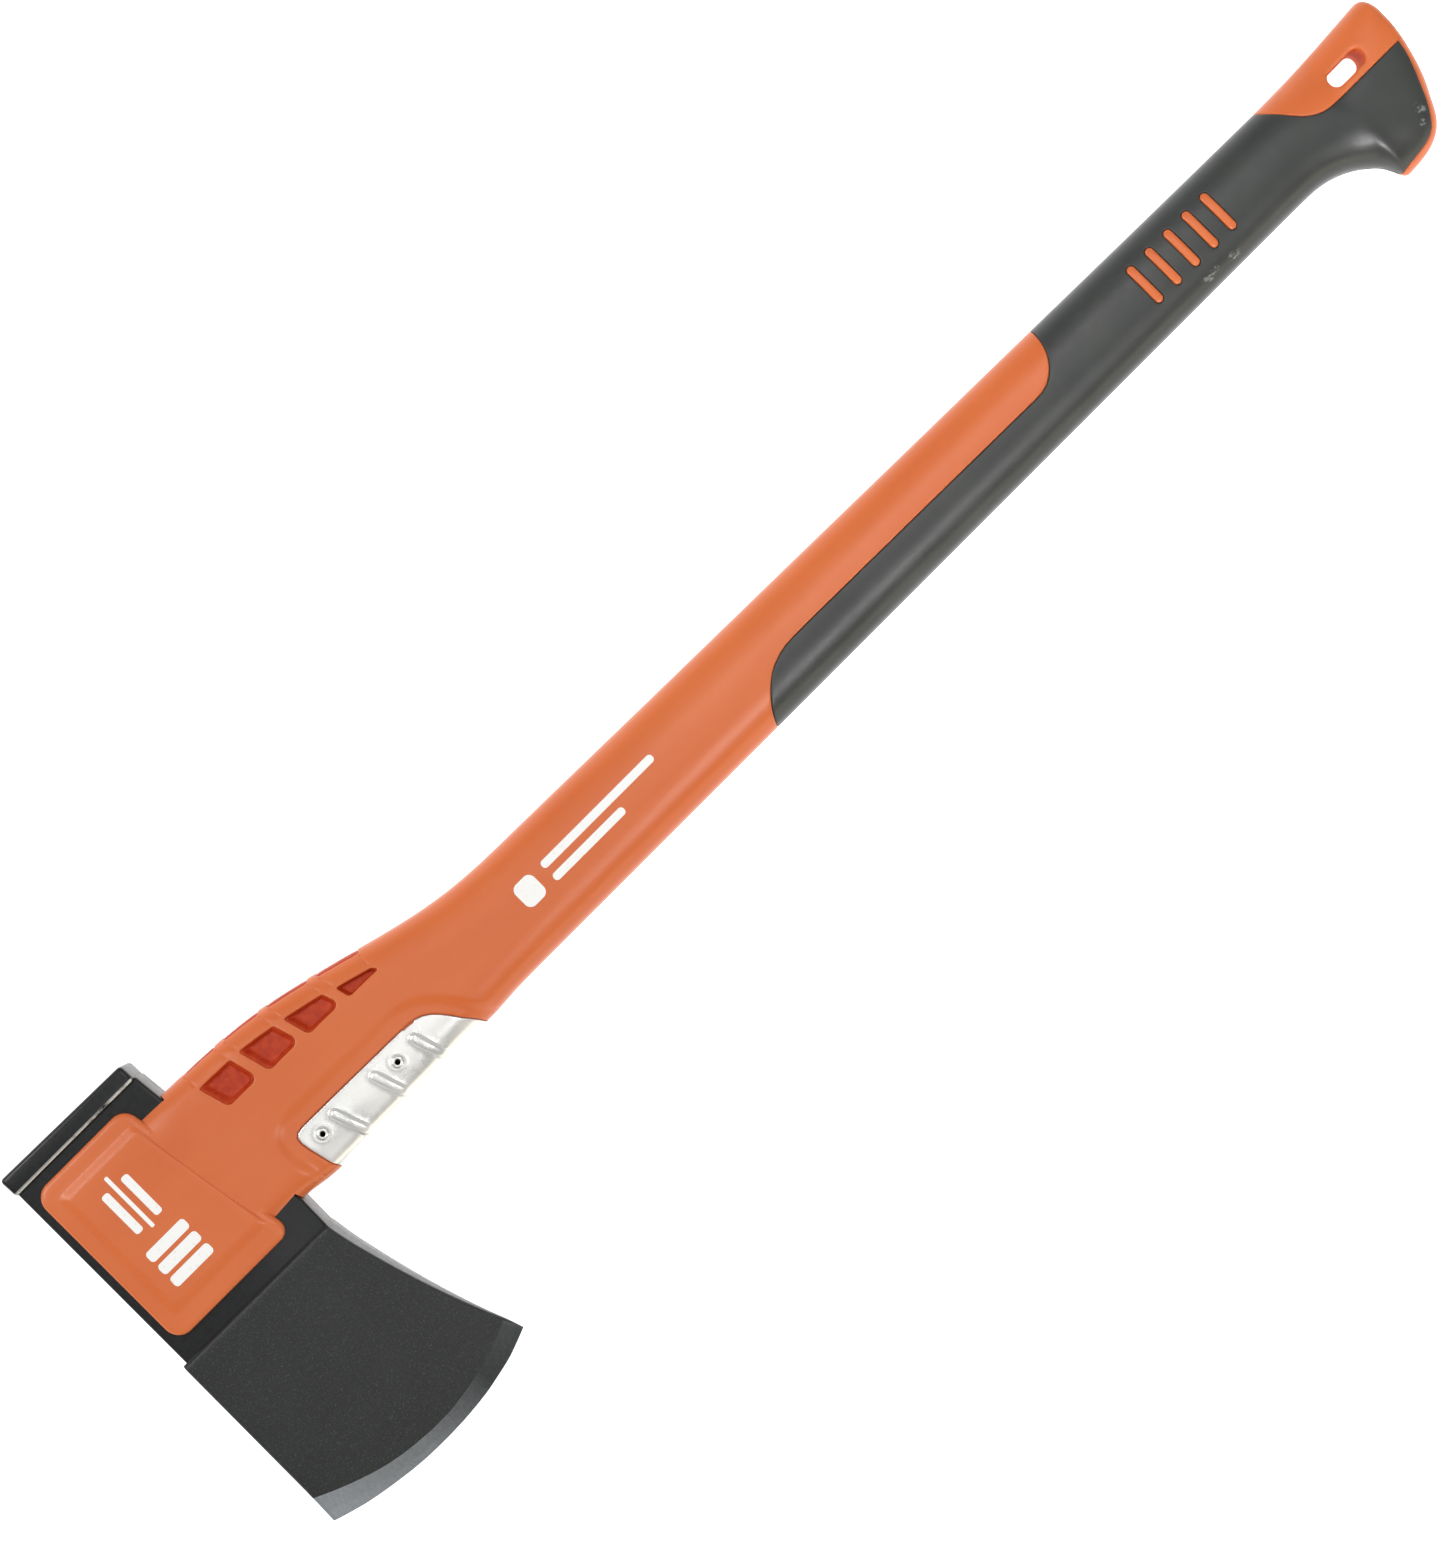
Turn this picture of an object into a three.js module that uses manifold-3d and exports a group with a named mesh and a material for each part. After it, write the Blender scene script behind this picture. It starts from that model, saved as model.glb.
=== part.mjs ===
// Felling axe with a forged steel head on a moulded two-colour handle.
// Millimetres. The axe lies on its side: +X runs from the head to the butt,
// +Y points to the poll (the cutting edge is on -Y), +Z is up out of the cheek.
// The origin is the bottom centre of the whole object's box.
import * as THREE from "three";
import { mergeVertices } from "three/addons/utils/BufferGeometryUtils.js";
import Module from "manifold-3d";

const wasm = await Module();
wasm.setup();
const { Manifold, Mesh } = wasm;

// ---------------------------------------------------------------- driving dimensions
const OVERALL_THICKNESS = 31.0;      // over the two cheek pads
const HALF_T = OVERALL_THICKNESS / 2;
const CENTRE_X = -0.05;               // puts the middle of the length on the origin
const GAP = 0.3;                     // clearance between neighbouring pieces

const BODY_HALF_T = 11.0;            // forged waist of the head
const POLL_HALF_T = 13.0;            // hammer poll
const ROOT_HALF_T = 13.4;            // wedge where the blade leaves the waist
const GRIND_HALF_T = 1.7;            // at the grind line
const EDGE_HALF_T = 0.15;            // cutting edge
const EYE = { y0: 17, y1: 71, halfT: 7.5, r: 7.0 };

const SKIN = 3.0;                    // orange wall over the core
const SKIN_UNDER_GRIP = 5.3;         // depth of the core below the grip's surface
const GRIP_SKIN = 2.4;               // thickness of the soft overmould
const PLATE_T = 1.2;                 // guard sheet
const PLATE_HALF_T = 12.0;           // flat sides of the guard, from the mid-plane
const SEAT_HALF_T = 12.15;           // lowered seat around the guard
const RIVET = { od: 3.6, id: 2.1, flange: 5.4, flangeT: 0.6 };
const SLOT = { x: 324.4, y: 33.0, lx: 17.4, ly: 7.2, r: 3.4 };   // hanging slot
const BAR = { xs: [210.2, 220.2, 230.2, 240.2, 250.1], y0: 19.3, y1: 38.1, w: 3.6, low: 0.05 };
const CORE_END = 298;

// back and front outline of the handle, [x, y]
const BACK = [
  [-296, 76.2], [-278, 76.15], [-262.5, 75.8], [-247, 74.85], [-231.5, 73.05], [-215.9, 70.05],
  [-200.4, 66.3], [-184.9, 62.1], [-169.3, 58.2], [-153.8, 54.9], [-138.3, 53.05], [-122.7, 52.3],
  [-83.9, 51.65], [-6.3, 50.3], [71.4, 49.05], [149.1, 47.8], [226.7, 46.5], [265.6, 45.95],
  [288.9, 45.65], [304.4, 45.8], [319.9, 46.45], [335.5, 47.55], [341, 47.95], [345.3, 48.2],
  [347.0, 47.85], [348.3, 46.8], [349.2, 45.1], [349.75, 42.4], [350, 39.8]];
const FRONT = [
  [-296, 9.3], [-270, 9.2], [-263.7, 8.5], [-257, 7.3], [-251, 7.0], [-167, 7.1], [-158, 7.85],
  [-148.4, 8.03], [277, 8.05], [282.7, 7.9], [286.5, 7.6], [290.4, 6.85], [294.3, 5.65],
  [298.2, 4.0], [302.1, 1.65], [306.3, -1.6], [309.6, -5.2], [311.7, -9.4], [313.8, -13.6],
  [316.7, -13.5], [322.4, -13.1], [327.8, -12.1], [332.6, -9.9], [335.3, -7.7], [337.75, -4.6],
  [340.55, 0.9], [343.6, 7.1], [345.7, 12.9], [347.4, 19.1], [348.75, 25.2], [349.55, 31.1], [350, 38.2]];
// half thickness and superellipse exponent of the section, [x, value]
const HALF_THICK = [
  [-296, 14.9], [-288, 14.9], [-262, 14.1], [-240, 13.9], [-200, 14.0], [-160, 13.9], [-120, 13.8], [0, 13.4],
  [200, 12.8], [280, 12.5], [310, 12.45], [330, 12.2], [338, 11.9], [344.5, 11.3], [347.4, 10.6],
  [349.2, 9.2], [350, 5.0]];
const EXPONENT = [
  [-296, 5], [-260, 4.2], [-200, 3.4], [-150, 2.8], [-100, 2.6], [280, 2.6], [300, 2.4], [314, 2.3], [325, 2.7], [335, 3.2], [350, 3.6]];
const STATIONS = [
  -296, -288, -275, -262, -251, -239, -227, -215.9, -200.4, -184.9, -169.3, -153.8, -138.3, -122.7,
  -70, -20, 60, 149.1, 226.7, 277, 286.5, 294.3, 300, 304, 307.5, 311.1, 313.2, 317, 324, 331,
  337, 342, 345.7, 347.8, 349.2, 350];
const BUTT_END = 350;
const SECTION_POINTS = 20;

// outline of the region covered by the soft grip
const GRIP_REGION = [
  [-10.6, 2], [-10.37, 7.35], [-8.44, 12.2], [-4.98, 17.2], [-1.13, 21.2], [2.73, 24.3],
  [6.58, 26.35], [10.43, 27.7], [14.28, 28.4], [18.13, 28.6], [145.2, 27.25], [151, 27.1],
  [154.1, 27.5], [156.8, 28.7], [159.1, 30.15], [161.4, 32.2], [163.35, 34.7], [164.7, 37.2],
  [165.9, 40.3], [166.8, 43.8], [167.4, 47], [167.7, 56], [286, 56], [287, 48.2], [288.15, 45.3],
  [291.6, 40.9], [296.2, 34.9], [298.5, 32], [300.9, 29.9], [303.2, 28.4], [305.9, 27.25],
  [309, 26.6], [312.8, 26.3], [346.1, 26.15], [345.5, 22.2], [344.3, 17.9], [342.6, 13.3],
  [340.75, 8.7], [338.6, 3.5], [336.3, -1.1], [334.2, -4.4], [332.3, -6.9], [329.6, -8.7],
  [322.4, -10.4], [316.7, -11.1], [310.6, -11.9], [306, -16], [296, -10]];

const WINDOWS = [
  [[-266.6, 67.2], [-250.3, 66.8], [-247.8, 57.0], [-250.4, 54.1], [-261.2, 54.3], [-263.5, 56.6]],
  [[-245.8, 66.7], [-229.3, 64.2], [-226.6, 55.4], [-229.7, 52.8], [-240.4, 53.2], [-242.7, 55.4]],
  [[-224.7, 63.4], [-207.4, 59.6], [-205.6, 54.3], [-208.5, 52.0], [-219.7, 52.4], [-222.2, 54.7]],
  [[-202.0, 57.6], [-187.0, 53.6], [-186.4, 52.0], [-189.0, 51.2], [-198.2, 51.5], [-200.9, 53.5]]];
const SPINE_WINDOWS = [[-269.0, -253.5], [-248.3, -232.4], [-227.3, -210.7], [-205.2, -187.4]];
const SPINE_HALF_Z = 9.0;

const GUARD_REGION = [
  [-249.4, 2], [-249.4, 5.8], [-251.2, 9.7], [-252.3, 15.4], [-253.3, 20.3], [-253.9, 24.7],
  [-253.3, 27.4], [-251.4, 28.7], [-248.7, 29.0], [-192.5, 28.3], [-189.4, 27.8], [-185.9, 26.5],
  [-183.2, 24.7], [-180.5, 21.8], [-178.2, 18.7], [-175.1, 13.9], [-172.1, 9.9], [-170.1, 6.8],
  [-169, 2]];
const RIVETS_AT = [[-245.2, 21.2], [-205.2, 20.4]];
const RIBS = [[-237.1, 25.4, -231.9, 8.5], [-215.9, 24.7, -211.3, 8.5], [-194.8, 24.3, -190.7, 8.5]];

const PAD = [[-341.2, 3.6], [-279.2, 3.6], [-293.4, 82.8], [-341.2, 82.8]];
const PAD_CORNER = [7, 5, 7, 7];
const PAD_RIM = { halfT: 14.1, wide: 1.0, high: 1.2 };
// raised middle of the pad, measured at the foot of its bevel
const PAD_TOP = [[-334.6, 12.0], [-281.2, 12.0], [-291.4, 75.5], [-334.6, 75.5]];
const PAD_BEVEL = { wide: 3.6, high: 1.4 };

const BODY = [[-345.2, -5.5], [-269.2, -5.5], [-268.8, 8.9], [-279.8, 76], [-281.0, 88.5], [-345.2, 88.5]];
const POLL_TILT = -0.0177;
const POLL = { x0: -346.2, x1: -281.8, y0: 87.4, y1: 96.3, edge: 1.6 };
const EDGE_ARC = [
  [-352, -87.2], [-349.9, -88], [-342.5, -90.3], [-334.8, -92.3], [-327, -93.75], [-319.2, -94.9],
  [-311.5, -95.8], [-303.7, -96.25], [-295.9, -96.35], [-288.2, -96.15], [-280.4, -95.6],
  [-272.6, -94.7], [-264.9, -93.2], [-257.1, -91.4], [-251.3, -89.4], [-244.7, -86.8], [-240, -84.8]];
const GRIND_LINE = [
  [-352, -75], [-349.4, -76], [-342, -79.3], [-334.3, -82.4], [-326.5, -85.1], [-318.8, -87.2],
  [-311, -88.6], [-303.2, -89.4], [-295.5, -89.8], [-287.7, -89.6], [-280, -88.7], [-272.2, -87.3],
  [-264.5, -85.3], [-256.7, -82.8], [-247.4, -79.1], [-240, -76]];
const BLADE_OUTLINE = [
  [-347.2, -4.4], [-349.9, -88], [-349.9, -100], [-244.7, -100], [-244.7, -86.8], [-246.6, -81],
  [-250, -72.5], [-253.6, -62.5], [-257.7, -49.5], [-261.3, -36.5], [-264.2, -25], [-266.8, -15.4],
  [-268.2, -4.4]];

// ---------------------------------------------------------------- helpers
const at = (table, x) => {
  if (x <= table[0][0]) return table[0][1];
  for (let i = 1; i < table.length; i++) {
    const [x0, y0] = table[i - 1], [x1, y1] = table[i];
    if (x <= x1) return y0 + (y1 - y0) * (x - x0) / (x1 - x0);
  }
  return table[table.length - 1][1];
};

const toSolid = (geometry) => {
  const g = geometry.clone();
  g.deleteAttribute("normal");
  g.deleteAttribute("uv");
  const m = mergeVertices(g, 1e-4);
  return new Manifold(new Mesh({
    numProp: 3,
    vertProperties: new Float32Array(m.attributes.position.array),
    triVerts: new Uint32Array(m.index.array),
  }));
};

const toGeometry = (solid) => {
  const m = solid.getMesh();
  const g = new THREE.BufferGeometry();
  g.setAttribute("position", new THREE.BufferAttribute(new Float32Array(m.vertProperties), 3));
  g.setIndex(new THREE.BufferAttribute(new Uint32Array(m.triVerts), 1));
  g.computeVertexNormals();
  return g;
};

const shapeOf = (pts) => new THREE.Shape(pts.map(([x, y]) => new THREE.Vector2(x, y)));

const prism = (pts, z0, z1) => {
  const g = new THREE.ExtrudeGeometry(shapeOf(pts), { depth: z1 - z0, bevelEnabled: false, curveSegments: 6 });
  g.translate(0, 0, z0);
  return toSolid(g);
};

const box = (x0, x1, y0, y1, z0, z1) => {
  const g = new THREE.BoxGeometry(x1 - x0, y1 - y0, z1 - z0);
  g.translate((x0 + x1) / 2, (y0 + y1) / 2, (z0 + z1) / 2);
  return toSolid(g);
};

// moves every side of an outline outward by d
const grow = (pts, d) => {
  let area = 0;
  pts.forEach(([x, y], i) => { const [u, v] = pts[(i + 1) % pts.length]; area += x * v - u * y; });
  const s = area > 0 ? 1 : -1;
  return pts.map(([x, y], i) => {
    const a = pts[(i + pts.length - 1) % pts.length], b = pts[(i + 1) % pts.length];
    const n0 = new THREE.Vector2(y - a[1], a[0] - x).normalize().multiplyScalar(s);
    const n1 = new THREE.Vector2(b[1] - y, x - b[0]).normalize().multiplyScalar(s);
    const m = n0.clone().add(n1).normalize();
    const k = d / Math.max(0.5, m.dot(n1));
    return [x + m.x * k, y + m.y * k];
  });
};

// rounds the corners of an outline, one radius per corner
const rounded = (pts, radii, steps = 5) => {
  const out = [];
  pts.forEach((p, i) => {
    const a = new THREE.Vector2(...pts[(i + pts.length - 1) % pts.length]);
    const b = new THREE.Vector2(...pts[(i + 1) % pts.length]);
    const c = new THREE.Vector2(...p);
    const r = radii[i];
    const da = a.sub(c).normalize(), db = b.sub(c).normalize();
    const half = Math.acos(THREE.MathUtils.clamp(da.dot(db), -1, 1)) / 2;
    const t = r / Math.tan(half);
    const centre = c.clone().add(da.clone().add(db).normalize().multiplyScalar(r / Math.sin(half)));
    const p0 = c.clone().add(da.clone().multiplyScalar(t)).sub(centre);
    const p1 = c.clone().add(db.clone().multiplyScalar(t)).sub(centre);
    const a0 = p0.angle(), turn = Math.atan2(p0.cross(p1), p0.dot(p1));
    for (let k = 0; k <= steps; k++) {
      const w = a0 + turn * k / steps;
      out.push([centre.x + r * Math.cos(w), centre.y + r * Math.sin(w)]);
    }
  });
  return out;
};

// a closed skin through rings of equal length, capped at both ends
const skin = (rings) => {
  const n = rings[0].length, pos = [], idx = [];
  rings.forEach((ring) => ring.forEach((p) => pos.push(...p)));
  for (let i = 0; i + 1 < rings.length; i++) for (let j = 0; j < n; j++) {
    const a = i * n + j, b = i * n + (j + 1) % n, c = a + n, d = b + n;
    idx.push(a, b, d, a, d, c);
  }
  for (const [i, flip] of [[0, true], [rings.length - 1, false]]) {
    const mid = [0, 1, 2].map((k) => rings[i].reduce((s, p) => s + p[k], 0) / n);
    const m = pos.length / 3;
    pos.push(...mid);
    for (let j = 0; j < n; j++) {
      const a = i * n + j, b = i * n + (j + 1) % n;
      if (flip) idx.push(b, a, m); else idx.push(a, b, m);
    }
  }
  const g = new THREE.BufferGeometry();
  g.setAttribute("position", new THREE.Float32BufferAttribute(pos, 3));
  g.setIndex(idx);
  const s = toSolid(g);
  if (s.volume() > 0) return s;
  const f = g.clone();
  const flipped = [];
  for (let i = 0; i < idx.length; i += 3) flipped.push(idx[i], idx[i + 2], idx[i + 1]);
  f.setIndex(flipped);
  return toSolid(f);
};

// the handle's outer form, set in by depth(x), between two stations
const handle = (depth, x0 = -Infinity, x1 = Infinity, pointCount = SECTION_POINTS) => {
  const d = typeof depth === "function" ? depth : () => depth;
  const end = BUTT_END - d(BUTT_END);
  const xs = STATIONS.filter((x) => x > x0 + 0.5 && x < Math.min(x1, end) - 0.5);
  xs.unshift(Math.max(x0, STATIONS[0]));
  xs.push(Math.min(x1, end));
  const rings = xs.map((x) => {
    // squeeze the stations of an inset form so that its butt end keeps its shape
    const s = x > 300 ? 300 + (x - 300) * (BUTT_END - 300) / (end - 300) : x;
    const yb = at(BACK, s) - d(x), yf = at(FRONT, s) + d(x);
    const a = Math.max(0.4, (yb - yf) / 2), c = (yb + yf) / 2;
    const b = Math.max(0.4, at(HALF_THICK, s) - d(x));
    const e = 2 / at(EXPONENT, s);
    return Array.from({ length: pointCount }, (_, j) => {
      const w = (j + 0.5) / pointCount * 2 * Math.PI;
      const cy = Math.cos(w), sz = Math.sin(w);
      return [x, c + a * Math.sign(cy) * Math.abs(cy) ** e, b * Math.sign(sz) * Math.abs(sz) ** e];
    });
  });
  return skin(rings);
};

const stadium = (x, y0, y1, w, steps = 5) => {
  const r = w / 2, pts = [];
  for (let k = 0; k <= steps; k++) { const t = Math.PI * k / steps; pts.push([x + r * Math.cos(t), y1 - r + r * Math.sin(t)]); }
  for (let k = 0; k <= steps; k++) { const t = Math.PI + Math.PI * k / steps; pts.push([x + r * Math.cos(t), y0 + r + r * Math.sin(t)]); }
  return pts;
};

// a prism along X through an outline given in Y and Z
const bar = (pts, x0, x1) => {
  const g = new THREE.ExtrudeGeometry(shapeOf(pts), { depth: x1 - x0, bevelEnabled: false });
  g.rotateY(Math.PI / 2);
  g.rotateX(Math.PI / 2);
  g.translate(x0, 0, 0);
  return toSolid(g);
};

const rod = (x, y, radius, half, sides = 16) => {
  const g = new THREE.CylinderGeometry(radius, radius, 2 * half, sides);
  g.rotateX(Math.PI / 2);
  g.translate(x, y, 0);
  return toSolid(g);
};

const union = (list) => list.reduce((a, b) => a.add(b));

// ---------------------------------------------------------------- head
const eyeOutline = (d) => {
  const y0 = EYE.y0 - d, y1 = EYE.y1 + d, h = EYE.halfT + d, r = Math.min(EYE.r + d, h - 0.05);
  return rounded([[y0, -h], [y1, -h], [y1, h], [y0, h]], [r, r, r, r], 4);
};

const pollBlock = () => {
  const { x0, x1, y0, y1, edge } = POLL, h = POLL_HALF_T;
  const face = (x) => y1 + (x - x0) * POLL_TILT;
  const ring = (x, inset) => {
    const t = face(x) - inset * 0.6, b = y0 - 0.4, z = h - inset * 0.6;
    return [[x, t, z - edge], [x, t - edge, z], [x, y0 + 1, z], [x, b, BODY_HALF_T - 0.6], [x, b, -BODY_HALF_T + 0.6],
      [x, y0 + 1, -z], [x, t - edge, -z], [x, t, -z + edge]];
  };
  return skin([ring(x0, edge), ring(x0 + edge, 0), ring(x1 - edge, 0), ring(x1, edge)]);
};

const blade = () => {
  const xs = [-352, -349.9, -342.5, -334.8, -327, -319.2, -311.5, -303.7, -295.9, -288.2, -280.4, -272.6, -264.9, -257.1, -251.3, -244.7, -240];
  const rings = xs.map((x) => {
    const e = at(EDGE_ARC, x), g = at(GRIND_LINE, x);
    return [[x, -3.0, BODY_HALF_T], [x, -4.8, ROOT_HALF_T - 0.5], [x, -6.4, ROOT_HALF_T], [x, g, GRIND_HALF_T], [x, e, EDGE_HALF_T],
      [x, e, -EDGE_HALF_T], [x, g, -GRIND_HALF_T], [x, -6.4, -ROOT_HALF_T], [x, -4.8, -ROOT_HALF_T + 0.5], [x, -3.0, -BODY_HALF_T]];
  });
  return skin(rings);
};

const bodyWithChamfer = () => {
  const g = new THREE.ExtrudeGeometry(shapeOf(grow(BODY, -1.2)), {
    depth: 2 * BODY_HALF_T - 2.4, bevelEnabled: true, bevelThickness: 1.2, bevelSize: 1.2, bevelSegments: 1 });
  g.translate(0, 0, -BODY_HALF_T + 1.2);
  return toSolid(g);
};

const bladeCut = grow([[-347.1, -2.0], ...BLADE_OUTLINE, [-268.2, -2.0]], 0);
const head = union([bodyWithChamfer(), pollBlock(), blade().intersect(prism(bladeCut, -20, 20))])
  .subtract(bar(eyeOutline(0), -360, -255));

// ---------------------------------------------------------------- fibre core
const CORE_START = -266.5;
const coreDepth = (extra) => (x) => {
  const t = THREE.MathUtils.smoothstep(x, -70, -20);
  return SKIN + (SKIN_UNDER_GRIP - SKIN) * t + extra;
};
const spineBosses = (extra) => union(SPINE_WINDOWS.map(([x0, x1]) =>
  box(Math.max(x0, CORE_START) + extra, x1 - extra, 45, 90, -SPINE_HALF_Z + extra, SPINE_HALF_Z - extra)
    .intersect(handle(0.7, -296, -150))));
const coreForm = (extra, start, end) =>
  union([handle(coreDepth(extra), start, end), bar(eyeOutline(-extra), -344.4, start + 4)]);
const rivetHoles = union(RIVETS_AT.map(([x, y]) => rod(x, y, RIVET.od / 2 + GAP, 20)));
const core = coreForm(GAP, CORE_START + GAP, CORE_END).add(spineBosses(GAP)).subtract(rivetHoles);
const coreRoom = coreForm(0, CORE_START, CORE_END + GAP);

// ---------------------------------------------------------------- orange shell
const bevelled = (pts, radii, halfT, wide, high) => {
  const outline = rounded(grow(pts, -wide), radii.map((r) => Math.max(1.2, r - wide)), 4);
  const depth = 2 * (halfT - high);
  const g = new THREE.ExtrudeGeometry(shapeOf(outline), {
    depth, bevelEnabled: true, bevelThickness: high, bevelSize: wide, bevelSegments: 1 });
  g.translate(0, 0, -depth / 2);
  return toSolid(g);
};
const padSolid = bevelled(PAD, PAD_CORNER, PAD_RIM.halfT, PAD_RIM.wide, PAD_RIM.high)
  .add(bevelled(PAD_TOP, [4.8, 4.8, 4.8, 4.8], HALF_T, PAD_BEVEL.wide, PAD_BEVEL.high));
const headRoom = prism(grow(BODY, GAP), -BODY_HALF_T - GAP, BODY_HALF_T + GAP);
const windowCuts = union([
  ...WINDOWS.map((w) => prism(w, -20, 20)),
  ...SPINE_WINDOWS.map(([x0, x1]) => box(x0, x1, 45, 90, -SPINE_HALF_Z, SPINE_HALF_Z)
    .subtract(handle(4.2, -296, -150)))]);

const guardSeat = prism(grow(GUARD_REGION, 4), -20, 20).subtract(box(-300, -120, -20, 120, -SEAT_HALF_T, SEAT_HALF_T));
const flatBetween = (h) => box(-300, -120, -20, 120, -h, h);
const guardRoom = prism(grow(GUARD_REGION, GAP), -20, 20)
  .subtract(handle(PLATE_T + GAP, -280, -150).intersect(flatBetween(PLATE_HALF_T - PLATE_T - GAP)));

const gripRoom = prism(grow(GRIP_REGION, GAP / 2), -20, 20).subtract(handle(GRIP_SKIN + GAP, -60));
const barsUp = union(BAR.xs.map((x) => prism(stadium(x, BAR.y0 + GAP / 2, BAR.y1 - GAP / 2, BAR.w - GAP), -20, 20)))
  .intersect(handle(BAR.low, 180, 280));
const slotOutline = (d) => {
  const hx = SLOT.lx / 2 + d, hy = SLOT.ly / 2 + d, r = SLOT.r + d;
  return rounded([[SLOT.x - hx, SLOT.y - hy], [SLOT.x + hx, SLOT.y - hy], [SLOT.x + hx, SLOT.y + hy], [SLOT.x - hx, SLOT.y + hy]], [r, r, r, r], 5);
};

const shell = handle(0).subtract(guardSeat)
  .add(padSolid)
  .subtract(gripRoom)
  .add(barsUp)
  .subtract(coreRoom)
  .subtract(headRoom)
  .subtract(guardRoom)
  .subtract(windowCuts)
  .subtract(rivetHoles)
  .subtract(prism(slotOutline(0), -30, 30));

// ---------------------------------------------------------------- folded guard
const ribLift = union(RIBS.map(([x0, y0, x1, y1]) => {
  const dx = x1 - x0, dy = y1 - y0, l = Math.hypot(dx, dy), nx = -dy / l * 1.6, ny = dx / l * 1.6;
  return prism([[x0 + nx, y0 + ny], [x1 + nx, y1 + ny], [x1 - nx, y1 - ny], [x0 - nx, y0 - ny]].reverse(), -PLATE_HALF_T - 0.5, PLATE_HALF_T + 0.5)
    .intersect(handle(-0.6, -280, -150));
}));
const guardOuter = handle(-0.25, -280, -150).intersect(flatBetween(PLATE_HALF_T)).intersect(prism(GUARD_REGION, -20, 20));
const guardPlate = guardOuter.add(ribLift)
  .subtract(handle(PLATE_T, -280, -150).intersect(flatBetween(PLATE_HALF_T - PLATE_T)))
  .subtract(rivetHoles);

const rivetGeometry = (x, y) => {
  const { od, id, flange, flangeT } = RIVET;
  const z0 = PLATE_HALF_T + 0.1, z1 = z0 + flangeT;
  const profile = [[id / 2, -z1], [flange / 2 - 0.3, -z1], [flange / 2, -z1 + 0.3], [flange / 2, -z0], [od / 2, -z0],
    [od / 2, z0], [flange / 2, z0], [flange / 2, z1 - 0.3], [flange / 2 - 0.3, z1], [id / 2, z1], [id / 2, -z1]];
  const g = new THREE.LatheGeometry(profile.map(([r, z]) => new THREE.Vector2(r, z)), 20);
  g.rotateX(Math.PI / 2);
  const s = toSolid(g);
  const m = toGeometry(s.volume() > 0 ? s : toSolid(g));
  return m;
};

// ---------------------------------------------------------------- soft grip
const grip = handle(0, -60).intersect(prism(grow(GRIP_REGION, -GAP / 2), -20, 20))
  .subtract(handle(GRIP_SKIN, -60))
  .subtract(union(BAR.xs.map((x) => prism(stadium(x, BAR.y0 - GAP / 2, BAR.y1 + GAP / 2, BAR.w + GAP), -20, 20))));

// ---------------------------------------------------------------- assembly
const paint = {
  steel: new THREE.MeshStandardMaterial({ color: 0x2b2d2d, roughness: 0.55, metalness: 0.6 }),
  orange: new THREE.MeshStandardMaterial({ color: 0xd4703f, roughness: 0.5, metalness: 0 }),
  red: new THREE.MeshStandardMaterial({ color: 0xa8331f, roughness: 0.6, metalness: 0 }),
  black: new THREE.MeshStandardMaterial({ color: 0x4a4c49, roughness: 0.75, metalness: 0 }),
  sheet: new THREE.MeshStandardMaterial({ color: 0xd9d9d6, roughness: 0.35, metalness: 0.9 }),
};
const axe = new THREE.Group();
axe.position.set(CENTRE_X, 0, HALF_T);
const put = (name, geometry, material) => {
  const mesh = new THREE.Mesh(geometry, material);
  mesh.name = name;
  axe.add(mesh);
  return mesh;
};
put("head", toGeometry(head), paint.steel);
put("core", toGeometry(core), paint.red);
put("shell", toGeometry(shell), paint.orange);
put("guard_plate", toGeometry(guardPlate), paint.sheet);
RIVETS_AT.forEach(([x, y], i) => put(`guard_rivet_${i + 1}`, rivetGeometry(x, y), paint.sheet).position.set(x, y, 0));
put("grip", toGeometry(grip), paint.black);

export default axe;
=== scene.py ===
# Felling axe: the visual model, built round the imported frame.
import bpy, bmesh, math
import numpy as np
from mathutils import Vector, Matrix
from mathutils.geometry import delaunay_2d_cdt


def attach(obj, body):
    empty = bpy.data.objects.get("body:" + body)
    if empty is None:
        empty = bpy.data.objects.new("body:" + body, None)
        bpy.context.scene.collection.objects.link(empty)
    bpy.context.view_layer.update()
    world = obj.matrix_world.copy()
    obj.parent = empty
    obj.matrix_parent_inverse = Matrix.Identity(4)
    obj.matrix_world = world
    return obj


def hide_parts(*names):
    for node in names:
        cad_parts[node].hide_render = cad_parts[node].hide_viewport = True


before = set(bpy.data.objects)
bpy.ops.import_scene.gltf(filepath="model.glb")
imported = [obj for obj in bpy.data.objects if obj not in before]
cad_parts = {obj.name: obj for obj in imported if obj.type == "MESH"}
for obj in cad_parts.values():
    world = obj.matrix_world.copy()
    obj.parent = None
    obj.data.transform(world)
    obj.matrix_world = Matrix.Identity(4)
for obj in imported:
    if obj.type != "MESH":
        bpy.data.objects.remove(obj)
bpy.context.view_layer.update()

CX, CZ = -0.05, 15.5          # mm: where the mid-plane model sits in the row frame
MM = 0.001

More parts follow.
